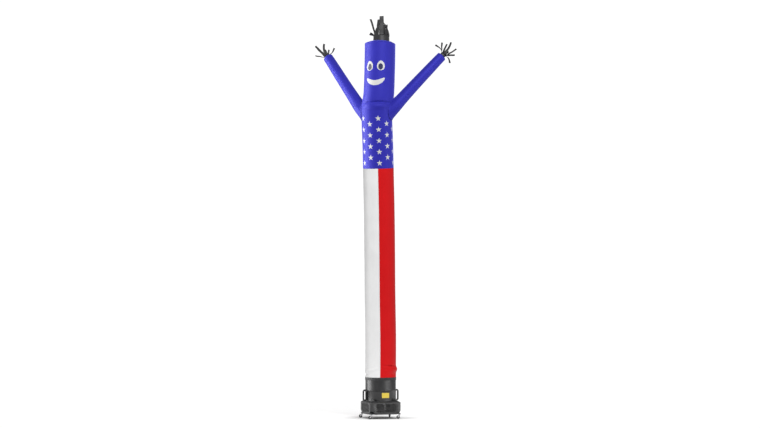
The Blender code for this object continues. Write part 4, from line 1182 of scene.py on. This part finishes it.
# %% Castor wheels
WHEEL_R, AXLE_Z, TRAIL = 0.0256, 0.02568, 0.0190
half_wheel = (
    [(0.0039, 0.0086), (0.0080, 0.0086), (0.0090, 0.0072), (0.0172, 0.0066), (0.0182, 0.0078)]
    + arc(WHEEL_R - 0.0040, 0.0058, 0.0040, 90, 0, 6)
)
other_half = [(radius, -height) for radius, height in reversed(half_wheel)]
wheel_section = half_wheel + other_half + half_wheel[:1]
for name, corner, trail in CASTORS:
    spot = turned_to(BLOWER_AZIMUTH) @ compass(corner, (HALF_SIDE - 0.0170) * math.sqrt(2))
    wheel_place = (
        Matrix.Translation((spot.x, spot.y, 0))
        @ Matrix.Rotation(math.radians(trail), 4, "Z")
        @ Matrix.Translation((0, -TRAIL, AXLE_Z))
        @ Matrix.Rotation(math.radians(90), 4, "Y")
    )
    node = "castor_wheel_" + name
    wheel = turned_piece(node, wheel_section, wheel_place, rubber, 64, "wheel_" + name)
print("faces of a wheel:", len(wheel.data.polygons))

# %% [markdown]
# ## Inlet grilles
#
# A guard of thin crossed wires keeps fingers out of the fan. It could be a flat plate with a see-through
# pattern, but then it would have no depth in the light. The wires are round rods a few millimetres
# apart, upright ones in front and level ones behind, and each inlet's guard is one piece.

# %% Wire guards
WIRE_PITCH = 0.0050
WIRE_R = 0.0011
UPRIGHT_WIRES, LEVEL_WIRES = 33, 13
GUARD_HALF_WIDTH, GUARD_HALF_HEIGHT = 0.1675, 0.0690


def rod(bm, start, end, radius):
    """A straight rod between two points, with six sides because it is so thin."""
    along = end - start
    made = bmesh.ops.create_cone(
        bm, cap_ends=True, segments=6, radius1=radius, radius2=radius, depth=along.length
    )["verts"]
    turn = along.to_track_quat("Z", "Y").to_matrix().to_4x4()
    bmesh.ops.transform(bm, matrix=Matrix.Translation((start + end) / 2) @ turn, verts=made)


for index in range(4):
    bm = bmesh.new()
    for k in range(-UPRIGHT_WIRES, UPRIGHT_WIRES + 1):
        x, reach = k * WIRE_PITCH, GUARD_HALF_HEIGHT
        rod(bm, Vector((x, -0.0004, -reach)), Vector((x, -0.0004, reach)), WIRE_R)
    for k in range(-LEVEL_WIRES, LEVEL_WIRES + 1):
        z, reach = k * WIRE_PITCH, GUARD_HALF_WIDTH
        rod(bm, Vector((-reach, 0.0004, z)), Vector((reach, 0.0004, z)), WIRE_R)
    guard_place = turned_to(BLOWER_AZIMUTH + 90 * index) @ Matrix.Translation((0, -0.2312, 0.1620))
    bmesh.ops.transform(bm, matrix=guard_place, verts=bm.verts)
    guard = piece_from(
        bm, f"inlet_grille_{index + 1}_finish", grille_paint, smooth=80.0
    )
    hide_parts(f"inlet_grille_{index + 1}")
print("wires in a guard:", 2 * (UPRIGHT_WIRES + LEVEL_WIRES) + 2)

# %% [markdown]
# ## Handles, plate and strap
#
# A handle is a closed loop of round tube: a ring drawn straight up, spun through half a turn, drawn down
# and spun back to its start. Where the collar leaves no room, the tube is pressed flat against it. A blank
# yellow plate is bent to the drum, and a strap of webbing holds the figure's hem to the collar.

# %% Loop handles
TUBE_RADIUS, LOOP_HALF, BEND_R = 0.0130, 0.0530, 0.0220
HANDLE_OUT, HANDLE_Z, UNDER_COLLAR_Z = 0.0350, 0.3460, 0.4070


def drawn(bm, edges, move):
    """Extrudes a ring of edges by a move and gives its new ring."""
    grown = bmesh.ops.extrude_edge_only(bm, edges=edges)["geom"]
    bmesh.ops.translate(bm, vec=move, verts=only(grown, bmesh.types.BMVert))
    return only(grown, bmesh.types.BMEdge)


def bent(bm, edges, centre):
    """Spins a ring of edges through half a turn and gives its new ring."""
    verts = list({vert for edge in edges for vert in edge.verts})
    made = bmesh.ops.spin(bm, geom=verts + edges, axis=(0, 1, 0), cent=centre, steps=20, angle=-math.pi)
    return only(made["geom_last"], bmesh.types.BMEdge)


for node, azimuth in (("handle_left", -90), ("handle_right", 90)):
    bm = bmesh.new()
    bmesh.ops.create_circle(bm, segments=24, radius=TUBE_RADIUS)
    bmesh.ops.translate(bm, vec=(BEND_R, 0, -LOOP_HALF), verts=bm.verts)
    ring = drawn(bm, bm.edges[:], (0, 0, 2 * LOOP_HALF))
    ring = bent(bm, ring, (0, 0, LOOP_HALF))
    ring = [edge for edge in ring if len(edge.link_faces) < 2]
    ring = drawn(bm, ring, (0, 0, -2 * LOOP_HALF))
    bent(bm, ring, (0, 0, -LOOP_HALF))
    join_up(bm)
    bmesh.ops.recalc_face_normals(bm, faces=bm.faces)
    out = DRUM_R + GAP + HANDLE_OUT
    facing = turned_to(BLOWER_AZIMUTH + azimuth - 90, HANDLE_Z) @ Matrix.Translation((out, 0, 0))
    bmesh.ops.transform(bm, matrix=facing, verts=bm.verts)
    for vert in bm.verts:
        away = (vert.co - BLOWER).xy
        least = COLLAR_R + 0.0010 if vert.co.z > UNDER_COLLAR_Z else DRUM_R + GAP
        if away.length < least:
            vert.co.xy += away.normalized() * (least - away.length)
    handle = piece_from(bm, node + "_finish", plastic, smooth=50.0)
    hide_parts(node)
    print(node, "faces:", len(handle.data.polygons))

# %% Blank plate
PLATE_START, PLATE_END = 21.8, 52.8
PLATE_BOTTOM, PLATE_TOP = 0.310, 0.387
plate_r = DRUM_R + GAP + 0.0010
plate_length = math.radians(PLATE_END - PLATE_START) * plate_r
bm = cloth_grid(
    fine_steps(0, plate_length, 0.0050),
    fine_steps(PLATE_BOTTOM, PLATE_TOP, 0.0070),
    lambda a, b: BLOWER + compass(PLATE_START + math.degrees(a / plate_r), plate_r) + Vector((0, 0, b)),
    lambda a, b: (min(a, plate_length - a, b - PLATE_BOTTOM, PLATE_TOP - b), a),
)
plate = thicken(piece_from(bm, "blank_label_finish", yellow), 0.0010)
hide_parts("blank_label")
print("plate length:", round(plate_length, 3))

# %% Hem strap
STRAP_BOTTOM, STRAP_TOP = 0.5710, 0.6130
STRAP_R = TUBE_R + GAP + 0.0020
strap_round = math.tau * STRAP_R


def strap_place(a, b):
    azimuth = math.degrees(a / STRAP_R)
    turn = round_place(azimuth)
    up = (b - STRAP_BOTTOM) / (STRAP_TOP - STRAP_BOTTOM)
    slack = 0.0012 * abs(noise.noise(turn * 5.0)) + 0.0006 * up
    level = b + 0.0016 * noise.noise(turn * 2.4 + Vector((0, 0, 4.0)))
    return ring_frame(level) @ compass(azimuth, STRAP_R + slack)


bm = cloth_grid(
    [value - strap_round / 2 for value in fine_steps(0, strap_round, 0.0090)],
    fine_steps(STRAP_BOTTOM, STRAP_TOP, 0.0035),
    strap_place,
    lambda a, b: (min(b - STRAP_BOTTOM, STRAP_TOP - b), a),
)
join_up(bm)
strap = thicken(piece_from(bm, "hem_strap_cloth", webbing), 0.0017)
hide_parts("hem_strap")
print("strap length:", round(strap_round, 3))

# %% [markdown]
# ## Floor
#
# The floor is white paper. A shadow has to show on it, but its far edge must not, so the paper grows
# clear towards its rim and the white sky takes over.

# %% Floor
PAPER_EDGE, PAPER_FADE = 4.5, 3.3
SHADOW_REACH, SHADOW_FADE, PAPER_GLOW = 0.26, 0.45, 0.42
floor_mesh = bmesh.new()
bmesh.ops.create_circle(floor_mesh, cap_ends=True, segments=96, radius=14.0)
mesh = bpy.data.meshes.new("floor")
floor_mesh.to_mesh(mesh)
floor_mesh.free()
floor = bpy.data.objects.new("floor", mesh)
scene.collection.objects.link(floor)
paper, paper_tree, paper_shader = new_material("white_paper_floor", (0.90, 0.90, 0.90), 0.95)
paper_shader.inputs["Specular IOR Level"].default_value = 0.0
paper_shader.inputs["Emission Color"].default_value = (1, 1, 1, 1)
paper_place = paper_tree.nodes.new("ShaderNodeTexCoord")
paper_away = paper_tree.nodes.new("ShaderNodeVectorMath")
paper_away.operation = "LENGTH"
paper_tree.links.new(paper_place.outputs["Object"], paper_away.inputs[0])
paper_distance = Field(paper_tree, paper_away.outputs["Value"])
paper_cover = ((paper_distance - PAPER_EDGE) / -PAPER_FADE).clamped()
# The paper glows so that it reads white. The glow is taken away within SHADOW_REACH of the blower, so real
# shadow shows under it and the floor round its foot is also painted darker as shade.
paper_light = ((paper_distance - SHADOW_REACH) / SHADOW_FADE).clamped() * PAPER_GLOW
paper_tree.links.new(paper_light.socket, paper_shader.inputs["Emission Strength"])
paper_tree.links.new(paper_cover.socket, paper_shader.inputs["Alpha"])
floor.data.materials.append(paper)
floor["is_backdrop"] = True

# %% [markdown]
# ## Edge lights
#
# Blue nylon and black plastic show their roundness by a bright band near the left edge. More light from
# there would burn out the white cloth, and moving the lamp would lose the band. So three more lamps light
# only blue and black pieces, the last of them only the plastic, as if shades stood before the rest.

# %% Lamps for the blue and black pieces
dark_pieces = bpy.data.collections.new("lit_by_edge_lamps")
plastic_pieces = bpy.data.collections.new("lit_by_the_plastic_lamp")
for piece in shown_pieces():
    names = [material.name for material in piece.data.materials if material is not None]
    if any(name.startswith(("blue", "black_plastic", "black_webbing", "grille")) for name in names):
        dark_pieces.objects.link(piece)
    if any(name.startswith(("black_plastic", "grille")) for name in names):
        plastic_pieces.objects.link(piece)
for name, azimuth, distance, size, power, lit in (
    ("edge_left", -97, 5.0, (3.0, 7.5), 550, dark_pieces),
    ("edge_right", 70, 6.0, (0.9, 7.5), 80, dark_pieces),
    ("edge_plastic", 46, 6.0, (1.0, 7.5), 190, plastic_pieces),
):
    edge_lamp = soft_box(name, azimuth, distance, 3.2, size, power)
    edge_lamp.light_linking.receiver_collection = lit
